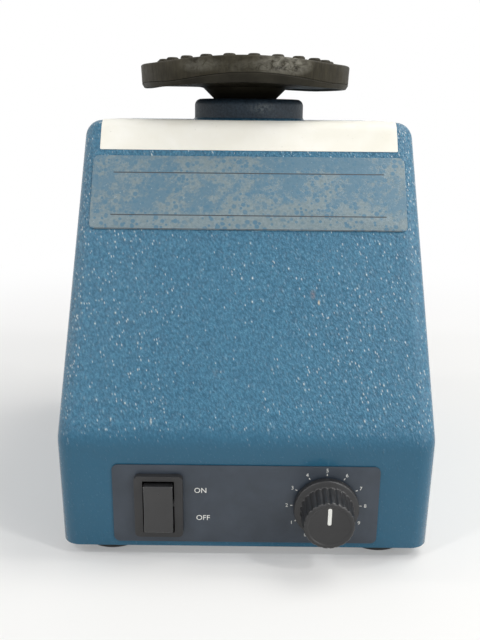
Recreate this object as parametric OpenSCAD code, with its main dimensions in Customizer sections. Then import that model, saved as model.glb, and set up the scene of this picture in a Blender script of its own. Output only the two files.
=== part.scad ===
// Vortex mixer: cast wedge housing, sprung motor with an eccentric drive, round rubber-topped platform.
// X is the width, -Y is the front, +Z is up; the feet stand on z = 0.

/* [Body] */
// Width at the fold line
body_w = 122; // [116:1:128]
// Width at the top face
body_top_w = 117.6; // [114:0.2:120]
// Width at the lower edge
body_low_w = 120; // [117:0.5:122]
// Height of the fold line
fold_z = 42; // [40:0.5:46]
// Height of the top face
top_z = 140.4; // [138:0.1:148]
// Neck axis to the fold
front_y = 87.9; // [85:0.1:92]
// Neck axis to the back face
back_y = 78; // [76:0.5:86]
// Run of the sloping face from the fold to the top edge
slope_run = 59.5; // [55:0.5:62]
// Lean of the back face
back_lean = 2; // [0:0.5:4]
// Undercut of the lower front panel in degrees
undercut = 5; // [3:0.5:7]
// Casting wall
wall = 3.5; // [3:0.1:4]
// Edge rounding
edge_r = 6.5; // [6:0.1:8]
// Lower edge above the table
skirt_z = 4; // [3:0.5:5]

/* [Collar] */
// Collar outside radius
collar_r = 20.9; // [20.5:0.1:22]
// Collar height
collar_h = 8; // [7.5:0.1:8.5]
// Collar bore radius
collar_bore_r = 17.5; // [17.4:0.1:17.9]
// Collar edge rounding
collar_edge = 2.5; // [1:0.1:2.6]

/* [Head] */
// Rubber cover radius
cover_r = 40.1; // [38:0.1:44]
// Rubber cover side height
cover_side = 6.7; // [5.8:0.1:8]
// Rubber cover thickness
cover_t = 2.3; // [1.8:0.1:3]
// Platform underside above the collar
head_gap = 3.8; // [3.4:0.1:6]
// Platform rim height
rim_h = 1.8; // [1.4:0.1:2.4]
// Radius at the top of the cone
cone_top_r = 16.4; // [15:0.1:20]
// Radius of the hub
hub_r = 11.5; // [10:0.1:12.5]
// Nub radius
nub_r = 2.35; // [2:0.05:2.6]
// Nub height
nub_h = 2.9; // [1.5:0.1:3.5]
// Nubs in the outer ring
nub_n = 23; // [16:1:24]
// Radius of the outer ring of nubs
nub_ring = 31.7; // [31:0.1:34]
// Drive post radius
post_r = 6; // [5:0.1:7]
// Orbit radius
orbit = 3.2; // [2.8:0.1:3.3]

/* [Motor] */
// Shaft radius
shaft_r = 4; // [3.5:0.1:4.5]
// Bearing outside radius
bearing_r = 11; // [10.5:0.1:11.5]
// Bearing width
bearing_w = 7; // [6:0.1:8]
// Stator width
stator_w = 76; // [70:1:78]
// Stator depth
stator_d = 64; // [60:1:66]
// Stator stack height
stator_h = 25; // [22:0.5:28]
// Rotor radius
rotor_r = 19; // [17:0.1:19.5]
// Air gap
air_gap = 0.5; // [0.4:0.05:0.8]
// Fan radius
fan_r = 28; // [22:1:32]
// Press travel
press = 1.5; // [1:0.1:2]
// Guide post position in X
guide_x = 46; // [45.5:0.1:46.5]
// Guide post position in Y
guide_y = 16; // [13:0.5:18]
// Guide post radius
guide_r = 3; // [2.6:0.1:3.2]
// Counterweight radius
weight_r = 22; // [18:0.5:24]

/* [Controls] */
// Switch position
switch_x = -28; // [-32:1:-24]
// Dial position
dial_x = 26; // [23:1:29]
// Knob radius
knob_r = 10.5; // [10:0.5:12]
// Knob depth
knob_h = 12; // [10:0.5:15]
// Control plate width
plate_w = 86; // [80:1:100]
// Bare strip above the control plate
plate_above = 8; // [6:0.5:9]
// Bare strip below the control plate
plate_below = 2; // [1.5:0.1:2.5]
// Plate thickness
plate_t = 0.5; // [0.3:0.1:1]

/* [Labels] */
// Nameplate width
name_w = 109; // [100:0.5:110]
// Nameplate length along the slope
name_h = 28; // [24:0.5:29]
// Nameplate middle below the top face
name_drop = 24.2; // [23.8:0.2:26.4]
// White label width
label_w = 105; // [96:0.5:106]
// White label drop below the top edge
label_drop = 10.1; // [9:0.1:10.2]
// White label reach over the top face
label_top = 46; // [42:1:56]
// Label thickness
label_t = 0.25; // [0.15:0.05:0.4]

/* [Base] */
// Foot radius
foot_r = 10; // [8:0.5:11]
// Gap between the feet and the walls
foot_gap = 1.5; // [0.5:0.1:3]
// Base plate thickness
base_t = 2; // [1.5:0.1:2.5]
// Cord hole radius
cord_r = 3.4; // [3:0.1:3.8]
// Cord gland position in X
gland_x = 30; // [26:1:34]
// Cord gland reach behind the back face
gland_out = 12; // [9:0.5:15]

/* [Hidden] */
$fn = 72;
big = 400;
skin = 0.05;
run_c = 0.05;
thread_c = 0.02;
slope_a = atan(slope_run / (top_z - fold_z));
inner_top = top_z - wall;
plate_h = fold_z - skirt_z - plate_above - plate_below;
panel_z = skirt_z + plate_below + plate_h / 2;
name_z = top_z - fold_z - name_drop;
base_z = skirt_z + 1;
deck_z = base_z + base_t;
gland_z = deck_z + 18;

// heights of the drive, hung from the top face
neck_z = top_z + collar_h;
bracket_z = top_z - 19;
bracket_t = 3;
stator_z1 = bracket_z - bracket_t - 8;
stator_z0 = stator_z1 - stator_h;
lower_z = stator_z0 - 13;
lower_t = 3;
up_bear_z = bracket_z - bracket_t + 1.5;
hub_z0 = up_bear_z + bearing_w + 1;
hub_z1 = top_z - 5.5;
low_bear_z = lower_z - lower_t - 5;
fan_z = low_bear_z - 13;
shaft_z0 = fan_z - 2;
cup_z0 = hub_z1 + 0.8;
head_bear_z = cup_z0 + 1.6;
cup_top = head_bear_z + bearing_w + 1.4;
seat_z = cup_top + 1.2;
under_z = neck_z + head_gap;
part_z = under_z + rim_h;
cover_z = part_z + cover_side;
deck_top = cover_z - cover_t;
post_top = deck_top - 3;
ecc = [-orbit / 2, orbit * sqrt(3) / 2, 0];
bolt_x = stator_w / 2 - 8;
bolt_y = stator_d / 2 - 8;
shoulder_z = bracket_z + 6;
spring_z0 = bracket_z - bracket_t - 22;
spring_z1 = bracket_z - bracket_t;
spring_or = guide_r + 2.3;
wire_r = 0.7;
touch_y = guide_y + 35;
touch_z = bracket_z - bracket_t - 6;
touch_w = 20;
touch_d = 10;
touch_h = 11;
touch_sheet = 1.5;
touch_holes = 7;
board_z = deck_z + 6;
board_t = 1.6;
board_top = board_z + board_t;
board_y0 = 2;
board_y1 = 50;
sink_x = 20;
sink_y = 11;
sink_h = 26;
triac_y = 21;
triac_t = 4.4;
leg_w = 0.8;

// the overall depth runs from the knob to the gland, centred on y = 0
panel_y = -front_y + (fold_z - panel_z) * tan(undercut);
knob_gap = 0.5;
knob_out = plate_t + knob_gap + knob_h;
y_front = panel_y - knob_out * cos(undercut) - (knob_r - 3) * sin(undercut) + skin / cos(undercut);
y_back = back_y + gland_out;
shift_y = -(y_front + y_back) / 2;

function unit(v) = v / norm(v);
function inset(a, b, c, r) =
  let (u = unit(a - b), v = unit(c - b), h = acos(u * v) / 2)
  b + unit(u + v) * r / sin(h);
function half_w(z) = z < fold_z
  ? body_low_w / 2 + (body_w - body_low_w) / 2 * (z - skirt_z) / (fold_z - skirt_z)
  : body_w / 2 + (body_top_w - body_w) / 2 * (z - fold_z) / (top_z - fold_z);
function front_at(z) = -front_y + (fold_z - z) * tan(undercut);
function slope_at(z) = -front_y + slope_run * (z - fold_z) / (top_z - fold_z);
foot_x = half_w(skirt_z) - wall - foot_r - foot_gap;
foot_front = -front_at(skirt_z) - wall - foot_r - foot_gap;
foot_back = back_y - wall - foot_r - foot_gap;
function corner(i, zb) = [
  [front_at(zb), zb], [-front_y, fold_z], [-front_y + slope_run, top_z],
  [back_y - back_lean, top_z], [back_y, fold_z], [back_y, zb]][i];
function side_view(d, zb) = [
  [front_at(zb) + d / cos(undercut), zb],
  inset(corner(0, zb), corner(1, zb), corner(2, zb), d),
  inset(corner(1, zb), corner(2, zb), corner(3, zb), d),
  inset(corner(2, zb), corner(3, zb), corner(4, zb), d),
  inset(corner(3, zb), corner(4, zb), corner(5, zb), d),
  [back_y - d, zb]];

module at_neck() translate([0, shift_y, 0]) children();
module along_x(l) rotate([90, 0, 90]) linear_extrude(l, center = true) children();
module along_y(l) rotate([90, 0, 0]) linear_extrude(l, center = true) children();
module on_panel(x) translate([x, panel_y + skin / cos(undercut), panel_z])
  rotate([90 + undercut, 0, 0]) children();
module on_slope(z) translate([0, slope_at(z), z]) rotate([90 - slope_a, 0, 0])
  translate([0, 0, -skin]) children();
module tube(r1, r0, h) difference() {
  cylinder(r = r1, h = h);
  translate([0, 0, -1]) cylinder(r = r0, h = h + 2);
}
module block(w, d, h, r) {
  translate([-w / 2 + r, -d / 2, 0]) cube([w - 2 * r, d, h]);
  translate([-w / 2, -d / 2 + r, 0]) cube([w, d - 2 * r, h]);
  for (x = [-w / 2 + r, w / 2 - r], y = [-d / 2 + r, d / 2 - r]) translate([x, y, 0]) cylinder(r = r, h = h);
}
module at_guides() for (x = [-guide_x, guide_x], y = [-guide_y, guide_y]) translate([x, y, 0]) children();
module at_bolts() for (x = [-bolt_x, bolt_x], y = [-bolt_y, bolt_y]) translate([x, y, 0]) children();
module at_feet() for (x = [-foot_x, foot_x], y = [-foot_front, foot_back]) translate([x, y, 0]) children();
module at_legs() for (y = [-3, 0, 3]) translate([sink_x - triac_t / 2, triac_y + y, 0]) children();
module at_board() for (x = [-31, 31], y = [board_y0 + 4, board_y1 - 4]) translate([x, y, 0]) children();
// a lead bends smoothly past each of its points, from mid-span to mid-span
function bezier(a, b, c, t) = a * pow(1 - t, 2) + b * 2 * t * (1 - t) + c * pow(t, 2);
function route(p) = concat([p[0]],
  [for (i = [1 : len(p) - 2], t = [0 : 0.2 : 1.01])
    if (i == 1 || t > 0) bezier((p[i - 1] + p[i]) / 2, p[i], (p[i] + p[i + 1]) / 2, t)],
  [p[len(p) - 1]]);
module lead(p, r, sides = 8) {
  q = route(p);
  n = len(q) - 1;
  pts = [for (i = [0 : n]) let (t = unit(q[min(i + 1, n)] - q[max(i - 1, 0)]),
      u = unit(cross(t, [1, 0, 0])), v = cross(t, u))
    for (j = [0 : sides - 1]) q[i] + r * (u * cos(360 * j / sides) + v * sin(360 * j / sides))];
  polyhedron(pts, tube_faces(n, sides), convexity = 6);
}
function tube_faces(n, sides) = concat(
  [[for (j = [0 : sides - 1]) j]],
  [for (i = [0 : n - 1], j = [0 : sides - 1]) let (k = (j + 1) % sides)
    [i * sides + j, (i + 1) * sides + k, i * sides + k]],
  [for (i = [0 : n - 1], j = [0 : sides - 1]) let (k = (j + 1) % sides)
    [i * sides + j, (i + 1) * sides + j, (i + 1) * sides + k]],
  [[for (j = [sides - 1 : -1 : 0]) n * sides + j]]);

// ---- housing
module wedge() intersection() {
  hull() for (i = [0 : 5], s = [-1, 1]) {
    zb = skirt_z - 2 * edge_r;
    q = i == 0 ? [front_at(zb) + edge_r / cos(undercut), zb]
      : i == 5 ? [back_y - edge_r, zb]
      : inset(corner(i - 1, zb), corner(i, zb), corner(i + 1, zb), edge_r);
    translate([s * (half_w(i == 0 || i == 5 ? zb : corner(i, zb)[1]) - edge_r), q[0], q[1]])
      sphere(r = edge_r, $fn = 32);
  }
  along_x(big) polygon(side_view(skin, skirt_z));
}
module cavity() intersection() {
  along_x(big) polygon(side_view(wall, skirt_z - 1));
  along_y(big) polygon([
    [-half_w(skirt_z) + wall, skirt_z - 1], [half_w(skirt_z) - wall, skirt_z - 1],
    [half_w(fold_z) - wall, fold_z], [half_w(inner_top) - wall, inner_top],
    [-half_w(inner_top) + wall, inner_top], [-half_w(fold_z) + wall, fold_z]]);
}
module collar() rotate_extrude() polygon(concat(
  [[0, top_z - 1], [collar_r, top_z - 1], [collar_r, neck_z - collar_edge]],
  [for (a = [15 : 15 : 75]) [collar_r - collar_edge + collar_edge * cos(a),
    neck_z - collar_edge + collar_edge * sin(a)]],
  [[collar_r - collar_edge, neck_z], [0, neck_z]]));
module housing() color([0.12, 0.23, 0.42]) at_neck() difference() {
  union() {
    difference() {
      wedge();
      cavity();
    }
    collar();
    at_guides() translate([0, 0, shoulder_z]) cylinder(r = 7, h = inner_top - shoulder_z + 1);
    for (s = [-1, 1], y = [-foot_front, foot_back]) {
      translate([s * foot_x, y, deck_z]) cylinder(r = 6, h = 17);
      translate([s > 0 ? foot_x : -half_w(deck_z) + 2, y - 3, deck_z])
        cube([half_w(deck_z) - 2 - foot_x, 6, 17]);
    }
  }
  translate([0, 0, inner_top - 1]) cylinder(r = collar_bore_r, h = collar_h + wall + 2);
  at_guides() translate([0, 0, shoulder_z - 1]) cylinder(r = 2.5 + thread_c, h = 9);
  at_feet() translate([0, 0, deck_z - 1]) cylinder(r = 2 + thread_c, h = 14);
  for (x = [-7, 7]) translate([x, touch_y + 2, inner_top - 1]) cylinder(r = 1.5 + thread_c, h = 3);
  on_panel(switch_x) translate([-6.6, -9.6, -wall - 2]) cube([13.2, 19.2, wall + 4]);
  on_panel(dial_x) translate([0, 0, -wall - 2]) cylinder(r = 3.6, h = wall + 4);
  translate([gland_x, back_y - wall - 2, gland_z]) rotate([-90, 0, 0]) cylinder(r = 7.5, h = wall + 4);
}
module base_plate() color([0.55, 0.56, 0.58]) at_neck() difference() {
  y0 = front_at(base_z) + wall + 1;
  y1 = back_y - wall - 0.5;
  w = 2 * (half_w(base_z) - wall - 0.5);
  translate([0, (y0 + y1) / 2, base_z]) block(w, y1 - y0, base_t, 4);
  at_feet() translate([0, 0, base_z - 1]) cylinder(r = 2.25, h = base_t + 2);
  at_board() translate([0, 0, base_z - 1]) cylinder(r = 1.5, h = base_t + 2);
  for (x = [-25 : 10 : 25]) translate([x - 2, -45, base_z - 1]) cube([4, 32, base_t + 2]);
}
module rubber_feet() color([0.07, 0.07, 0.07]) at_neck() at_feet() difference() {
  union() {
    cylinder(r1 = foot_r - 1, r2 = foot_r, h = 1);
    translate([0, 0, 1]) cylinder(r = foot_r, h = base_z - 1);
  }
  translate([0, 0, -1]) cylinder(r = 4.6, h = base_z - 1);
  cylinder(r = 2.25, h = base_z + 1);
}
module foot_screws() color([0.7, 0.7, 0.72]) at_neck() at_feet() difference() {
  union() {
    translate([0, 0, base_z - 4]) cylinder(r = 3.8, h = 2);
    translate([0, 0, base_z - 3]) cylinder(r = 2, h = base_t + 14);
  }
  for (a = [0, 90]) rotate([0, 0, a]) translate([-2.4, -0.5, base_z - 5]) cube([4.8, 1, 1.9]);
}

// ---- labels and plates
function arc(c, r, a0, a1, n) = [for (i = [0 : n]) let (a = a0 + (a1 - a0) * i / n) c + r * [cos(a), sin(a)]];
module caution_label() color([0.9, 0.9, 0.88]) at_neck() {
  c = inset(corner(1, 0), corner(2, 0), corner(3, 0), edge_r);
  up = [sin(slope_a), cos(slope_a)];
  out = [-cos(slope_a), sin(slope_a)];
  low = [slope_at(top_z), top_z] - up * label_drop / cos(slope_a);
  bend = c + out * edge_r;
  difference() {
    along_x(label_w) polygon(concat(
      [low - out * skin, bend - out * skin], arc(c, edge_r, 180 - slope_a, 90, 10),
      [[c[0], top_z - skin], [c[0] + label_top, top_z - skin], [c[0] + label_top, top_z + label_t]],
      arc(c, edge_r + label_t, 90, 180 - slope_a, 10), [low + out * label_t]));
    translate([0, 0, top_z - 2]) cylinder(r = collar_r + 1, h = 4);
  }
}
module nameplate() color([0.55, 0.58, 0.64]) at_neck() on_slope(fold_z + name_z)
  translate([0, 0, 0]) block(name_w, name_h, plate_t, 2);
module control_plate() color([0.16, 0.18, 0.22]) at_neck() difference() {
  on_panel(0) block(plate_w, plate_h, plate_t, 2);
  on_panel(switch_x) translate([-6.6, -9.6, -1]) cube([13.2, 19.2, 3]);
  on_panel(dial_x) translate([0, 0, -1]) cylinder(r = 3.6, h = 3);
}

// ---- switch
rock_z = -0.5;
module switch_body() color([0.06, 0.06, 0.06]) at_neck() on_panel(switch_x) difference() {
  union() {
    translate([0, 0, plate_t]) block(15.6, 22, 2, 1.5);
    translate([-6.4, -9.4, -18]) cube([12.8, 18.8, 18.5 + plate_t]);
  }
  translate([-5.1, -9.3, rock_z - 5.2]) cube([10.2, 18.6, 12]);
  translate([0, 0, rock_z]) rotate([0, 90, 0]) cylinder(r = 1.5 + run_c, h = 12.2, center = true);
}
module switch_rocker() color([0.05, 0.05, 0.05]) at_neck() on_panel(switch_x) translate([0, 0, rock_z]) {
  translate([0, 0, plate_t]) rotate([0, 0, 0]) {
    along_x(9.5) polygon([[-8.2, 4.4], [-4, 3.4], [0, 3.0], [4, 3.4], [8.2, 4.4], [8.5, 1.8],
      [5, -3.4], [-5, -3.4], [-8.5, 1.8]]);
  }
  rotate([0, 90, 0]) cylinder(r = 1.5, h = 12, center = true);
}
module switch_terminals() color([0.75, 0.6, 0.25]) at_neck() on_panel(switch_x)
  for (y = [-6, 0, 6]) translate([-2.4, y - 0.4, -25]) cube([4.8, 0.8, 7]);

// ---- speed dial
module dial_pot() color([0.3, 0.3, 0.32]) at_neck() on_panel(dial_x) difference() {
  union() {
    translate([0, 0, -wall + skin - 9]) cylinder(r = 8.5, h = 9);
    translate([0, 0, -wall + skin - 1]) cylinder(r = 3.5, h = wall + 4);
  }
  translate([0, 0, -wall - 6]) cylinder(r = 3 + run_c, h = 20);
}
module pot_nut() color([0.72, 0.72, 0.74]) at_neck() on_panel(dial_x) translate([0, 0, plate_t])
  difference() {
    cylinder(r = 5.6, h = 2, $fn = 6);
    translate([0, 0, -1]) cylinder(r = 3.5 + thread_c, h = 4);
  }
module pot_shaft() color([0.78, 0.78, 0.8]) at_neck() on_panel(dial_x)
  translate([0, 0, -wall - 5]) cylinder(r = 3, h = wall + 5 + plate_t + knob_gap + knob_h - 3);
module speed_knob() color([0.06, 0.06, 0.07]) at_neck() on_panel(dial_x)
  translate([0, 0, plate_t + knob_gap]) difference() {
    union() {
      cylinder(r = knob_r, h = 2.5);
      cylinder(r = knob_r - 2, h = knob_h - 1);
      translate([0, 0, knob_h - 1]) cylinder(r1 = knob_r - 2, r2 = knob_r - 3, h = 1);
    }
    translate([0, 0, -1]) cylinder(r = 7, h = 4.6);
    translate([0, 0, 3]) cylinder(r = 3, h = knob_h - 6);
    for (a = [0 : 15 : 345]) rotate([0, 0, a]) translate([knob_r - 1.6, 0, 2.5]) cylinder(r = 0.8, h = knob_h);
    translate([0, 0, 6]) rotate([0, 90, 0]) cylinder(r = 1.5, h = knob_r);
    translate([-0.7, 2, knob_h - 0.2]) cube([1.4, knob_r - 5.5, 1]);
  }
module knob_pointer() color([0.9, 0.9, 0.88]) at_neck() on_panel(dial_x)
  translate([-0.7, 2, plate_t + knob_gap + knob_h - 0.2]) cube([1.4, knob_r - 5.5, 0.2]);
module knob_screw() color([0.4, 0.4, 0.42]) at_neck() on_panel(dial_x)
  translate([3, 0, plate_t + knob_gap + 6]) rotate([0, 90, 0]) cylinder(r = 1.5 - thread_c, h = 4);

// ---- spring suspension
module guide_posts() color([0.7, 0.7, 0.72]) at_neck() at_guides() {
  translate([0, 0, shoulder_z - 6]) cylinder(r = guide_r + 2, h = 6);
  translate([0, 0, shoulder_z - 1]) cylinder(r = 2.5, h = 8);
  translate([0, 0, spring_z0 - 6]) cylinder(r = guide_r, h = shoulder_z - spring_z0 + 2);
}
module coil(z0, z1, turns, steps, sides) {
  n = turns * steps;
  rc = spring_or - wire_r;
  pts = [for (i = [0 : n]) let (a = 360 * i / steps, z = z0 + (z1 - z0) * i / n)
    for (j = [0 : sides - 1]) let (b = -360 * j / sides)
      [(rc + wire_r * cos(b)) * cos(a), (rc + wire_r * cos(b)) * sin(a), z + wire_r * sin(b)]];
  polyhedron(pts, tube_faces(n, sides), convexity = 10);
}
module press_springs() color([0.6, 0.62, 0.65]) at_neck() at_guides()
  coil(spring_z0 + wire_r, spring_z1 - wire_r, 6, 14, 6);
module post_washers() color([0.7, 0.7, 0.72]) at_neck() at_guides() translate([0, 0, spring_z0 - 1])
  tube(spring_or + 0.3, guide_r + thread_c, 1);
module post_nuts() color([0.7, 0.7, 0.72]) at_neck() at_guides() translate([0, 0, spring_z0 - 5])
  difference() {
    cylinder(r = guide_r + 2.6, h = 4, $fn = 6);
    translate([0, 0, -1]) cylinder(r = guide_r + thread_c, h = 6);
  }

// ---- touch switch
module touch_bracket() color([0.66, 0.67, 0.7]) at_neck() difference() {
  w = touch_w + 2;
  union() {
    translate([-w / 2, touch_y - 2, inner_top - touch_sheet]) cube([w, touch_d / 2 + 4, touch_sheet]);
    translate([-w / 2, touch_y + touch_d / 2, touch_z - touch_h - 3])
      cube([w, touch_sheet, inner_top - touch_z + touch_h + 3]);
  }
  for (x = [-touch_holes, touch_holes]) {
    translate([x, touch_y + 2, inner_top - 3]) cylinder(r = 1.6, h = 6);
    translate([x, touch_y, touch_z - touch_holes]) rotate([-90, 0, 0]) cylinder(r = 1.3, h = touch_d);
  }
}
module bracket_screws() color([0.7, 0.7, 0.72]) at_neck() for (x = [-touch_holes, touch_holes])
  translate([x, touch_y + 2, 0]) {
    translate([0, 0, inner_top - touch_sheet - 2]) cylinder(r = 2.6, h = 2);
    translate([0, 0, inner_top - touch_sheet - 0.5]) cylinder(r = 1.5, h = 3.8);
  }
module touch_switch() color([0.1, 0.1, 0.1]) at_neck() difference() {
  translate([-touch_w / 2, touch_y - touch_d / 2, touch_z - touch_h]) cube([touch_w, touch_d, touch_h]);
  translate([0, touch_y, touch_z - touch_h / 2]) cylinder(r = 1.2 + run_c, h = touch_h);
  for (x = [-touch_holes, touch_holes]) translate([x, touch_y - touch_d, touch_z - touch_holes])
    rotate([-90, 0, 0]) cylinder(r = 1.3, h = 2 * touch_d);
}
module touch_screws() color([0.7, 0.7, 0.72]) at_neck() for (x = [-touch_holes, touch_holes])
  translate([x, touch_y - touch_d / 2, touch_z - touch_holes]) rotate([-90, 0, 0]) {
    translate([0, 0, -1.5]) cylinder(r = 2.2, h = 1.5);
    translate([0, 0, -0.5]) cylinder(r = 1.25, h = touch_d + 3);
  }
module touch_plunger() color([0.75, 0.2, 0.15]) at_neck() translate([0, touch_y, touch_z - 3])
  cylinder(r = 1.2, h = bracket_z - bracket_t - touch_z + 3);

// ---- motor
module bearing(z, c) translate([0, 0, z]) rotate_extrude() polygon([
  [shaft_r + c, 0], [shaft_r + 2.2, 0], [shaft_r + 2.4, 0.5], [bearing_r - 1.9, 0.5],
  [bearing_r - 1.7, 0], [bearing_r, 0], [bearing_r, bearing_w], [bearing_r - 1.7, bearing_w],
  [bearing_r - 1.9, bearing_w - 0.5], [shaft_r + 2.4, bearing_w - 0.5],
  [shaft_r + 2.2, bearing_w], [shaft_r + c, bearing_w]]);
module upper_bracket() color([0.72, 0.73, 0.75]) at_neck() difference() {
  union() {
    translate([0, 0, bracket_z - bracket_t]) block(2 * guide_x + 12, stator_d - 4, bracket_t, 6);
    translate([-6, 0, bracket_z - bracket_t]) cube([12, touch_y + 3, bracket_t]);
    translate([0, 0, bracket_z - bracket_t]) cylinder(r = bearing_r + 3, h = up_bear_z + bearing_w - bracket_z + bracket_t);
    at_bolts() translate([0, 0, stator_z1]) cylinder(r = 5.5, h = bracket_z - stator_z1);
  }
  translate([0, 0, up_bear_z]) cylinder(r = bearing_r, h = 2 * bearing_w);
  translate([0, 0, stator_z1]) cylinder(r = bearing_r - 2, h = up_bear_z - stator_z1 + bearing_w);
  at_guides() translate([0, 0, bracket_z - bracket_t - 1]) cylinder(r = guide_r + run_c, h = bracket_t + 2);
  at_bolts() translate([0, 0, stator_z1 - 1]) cylinder(r = 2.1, h = 20);
}
module lower_bracket() color([0.72, 0.73, 0.75]) at_neck() difference() {
  union() {
    translate([0, 0, lower_z - lower_t]) block(stator_w - 4, stator_d - 4, lower_t, 6);
    translate([0, 0, low_bear_z]) cylinder(r = bearing_r + 3, h = lower_z - low_bear_z);
    at_bolts() translate([0, 0, lower_z - 1]) cylinder(r = 5.5, h = stator_z0 - lower_z + 1);
  }
  translate([0, 0, low_bear_z - 1]) cylinder(r = bearing_r, h = bearing_w + 1);
  translate([0, 0, low_bear_z - 1]) cylinder(r = bearing_r - 2, h = 40);
  at_bolts() translate([0, 0, lower_z - lower_t - 1]) cylinder(r = 2.1, h = 30);
}
slot_n = 12;
module stator_core() color([0.42, 0.42, 0.44]) at_neck() translate([0, 0, stator_z0]) difference() {
  block(stator_w, stator_d, stator_h, 5);
  translate([0, 0, -1]) cylinder(r = rotor_r + air_gap, h = stator_h + 2);
  at_bolts() translate([0, 0, -1]) cylinder(r = 2.1, h = stator_h + 2);
  for (i = [0 : slot_n - 1]) rotate([0, 0, (i + 0.5) * 360 / slot_n])
    translate([rotor_r + 5.5, 0, -1]) cylinder(r = 2.6, h = stator_h + 2);
}
module stator_windings() color([0.62, 0.33, 0.14]) at_neck() {
  for (z = [stator_z0 - 7, stator_z1]) translate([0, 0, z]) rotate_extrude() polygon([
    [rotor_r + 2, 0], [rotor_r + 9, 0], [rotor_r + 10, 1.2], [rotor_r + 10, 5.8],
    [rotor_r + 9, 7], [rotor_r + 2, 7], [rotor_r + 1, 5.8], [rotor_r + 1, 1.2]]);
  for (i = [0 : slot_n - 1]) rotate([0, 0, (i + 0.5) * 360 / slot_n])
    translate([rotor_r + 5.5, 0, stator_z0 - 1]) cylinder(r = 2.5, h = stator_h + 2);
}
module through_bolts() color([0.7, 0.7, 0.72]) at_neck() at_bolts() {
  translate([0, 0, bracket_z]) cylinder(r = 4, h = 2.8, $fn = 6);
  translate([0, 0, lower_z - lower_t - 6]) cylinder(r = 2, h = bracket_z - lower_z + lower_t + 7);
}
module through_nuts() color([0.7, 0.7, 0.72]) at_neck() at_bolts()
  translate([0, 0, lower_z - lower_t - 3.2]) difference() {
    cylinder(r = 4, h = 3.2, $fn = 6);
    translate([0, 0, -1]) cylinder(r = 2 + thread_c, h = 6);
  }
module upper_bearing() color([0.8, 0.8, 0.82]) at_neck() bearing(up_bear_z, run_c);
module lower_bearing() color([0.8, 0.8, 0.82]) at_neck() bearing(low_bear_z, run_c);

// ---- rotor and eccentric
module motor_shaft() color([0.78, 0.78, 0.8]) at_neck() translate([0, 0, shaft_z0])
  cylinder(r = shaft_r, h = hub_z1 - 1.5 - shaft_z0);
ring_h = 5;
fan_hub = 9;
fan_h = 9;
module rotor_core() color([0.5, 0.5, 0.52]) at_neck() translate([0, 0, stator_z0 - 1]) difference() {
  union() {
    cylinder(r = rotor_r, h = stator_h + 2);
    for (z = [1 - ring_h, stator_h + 1]) translate([0, 0, z]) cylinder(r = rotor_r - 2, h = ring_h);
  }
  translate([0, 0, -2 * ring_h]) cylinder(r = shaft_r, h = stator_h + 4 * ring_h);
}
module cooling_fan() color([0.15, 0.15, 0.16]) at_neck() translate([0, 0, fan_z]) difference() {
  union() {
    cylinder(r = fan_r, h = 1.5);
    cylinder(r = fan_hub, h = fan_h);
    for (i = [0 : 9]) rotate([0, 0, 36 * i]) translate([fan_hub - 3, -0.75, 1])
      cube([fan_r - fan_hub + 2, 1.5, fan_h - 1]);
  }
  translate([0, 0, -1]) cylinder(r = shaft_r, h = 12);
  translate([0, 0, 4.5]) rotate([0, 90, 18]) cylinder(r = 1.5, h = 12);
}
module fan_screw() color([0.4, 0.4, 0.42]) at_neck() translate([0, 0, fan_z + 4.5]) rotate([0, 90, 18])
  translate([0, 0, shaft_r]) cylinder(r = 1.5 - thread_c, h = 4);
module eccentric_hub() color([0.66, 0.66, 0.69]) at_neck() difference() {
  union() {
    translate([0, 0, hub_z0]) cylinder(r = 11, h = hub_z1 - hub_z0);
    translate(ecc + [0, 0, hub_z1 - 0.5]) cylinder(r = shaft_r, h = head_bear_z + bearing_w - hub_z1 + 0.3);
  }
  translate([0, 0, hub_z0 - 1]) cylinder(r = shaft_r, h = hub_z1 - hub_z0 - 0.5);
  translate([0, 0, (hub_z0 + hub_z1) / 2 - 0.7]) rotate([0, 90, 120]) cylinder(r = 1.5, h = 12);
}
module hub_screw() color([0.4, 0.4, 0.42]) at_neck() translate([0, 0, (hub_z0 + hub_z1) / 2 - 0.7])
  rotate([0, 90, 120]) translate([0, 0, shaft_r]) cylinder(r = 1.5 - thread_c, h = 5);
module counterweight() color([0.5, 0.45, 0.35]) at_neck() translate([0, 0, hub_z0 + 0.4]) difference() {
  tube(weight_r, 11, hub_z1 - hub_z0 - 1);
  rotate([0, 0, 120]) translate([-3, -30, -1]) cube([40, 60, 12]);
  for (s = [-1, 1]) rotate([0, 0, 300 + 35 * s]) translate([9, 0, (hub_z1 - hub_z0 - 1) / 2])
    rotate([0, 90, 0]) cylinder(r = 1.5, h = 20);
}
module weight_screws() color([0.4, 0.4, 0.42]) at_neck()
  for (s = [-1, 1]) rotate([0, 0, 300 + 35 * s]) translate([11, 0, hub_z0 + 0.4 + (hub_z1 - hub_z0 - 1) / 2])
    rotate([0, 90, 0]) cylinder(r = 1.5 - thread_c, h = weight_r - 12.5);

// ---- head
module at_head() translate(ecc) children();
module head_bearing() color([0.8, 0.8, 0.82]) at_neck() at_head() bearing(head_bear_z, run_c);
module bearing_clip() color([0.5, 0.5, 0.5]) at_neck() at_head() translate([0, 0, head_bear_z - 0.8])
  tube(bearing_r + 0.6, bearing_r - 2, 0.8);
module drive_post() color([0.74, 0.74, 0.76]) at_neck() at_head() difference() {
  union() {
    translate([0, 0, cup_z0]) cylinder(r = bearing_r + 1.8, h = cup_top - cup_z0);
    translate([0, 0, cup_top - 1]) cylinder(r = post_r, h = post_top - cup_top + 0.6);
  }
  translate([0, 0, cup_z0 - 1]) cylinder(r = bearing_r, h = head_bear_z + bearing_w - cup_z0 + 1);
  translate([0, 0, head_bear_z - 0.8]) cylinder(r = bearing_r + 0.6, h = 0.8);
}
module splash_ring() color([0.09, 0.09, 0.09]) at_neck() at_head() translate([0, 0, cup_top])
  tube(bearing_r + 2.6, post_r + thread_c, seat_z - cup_top);
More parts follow.
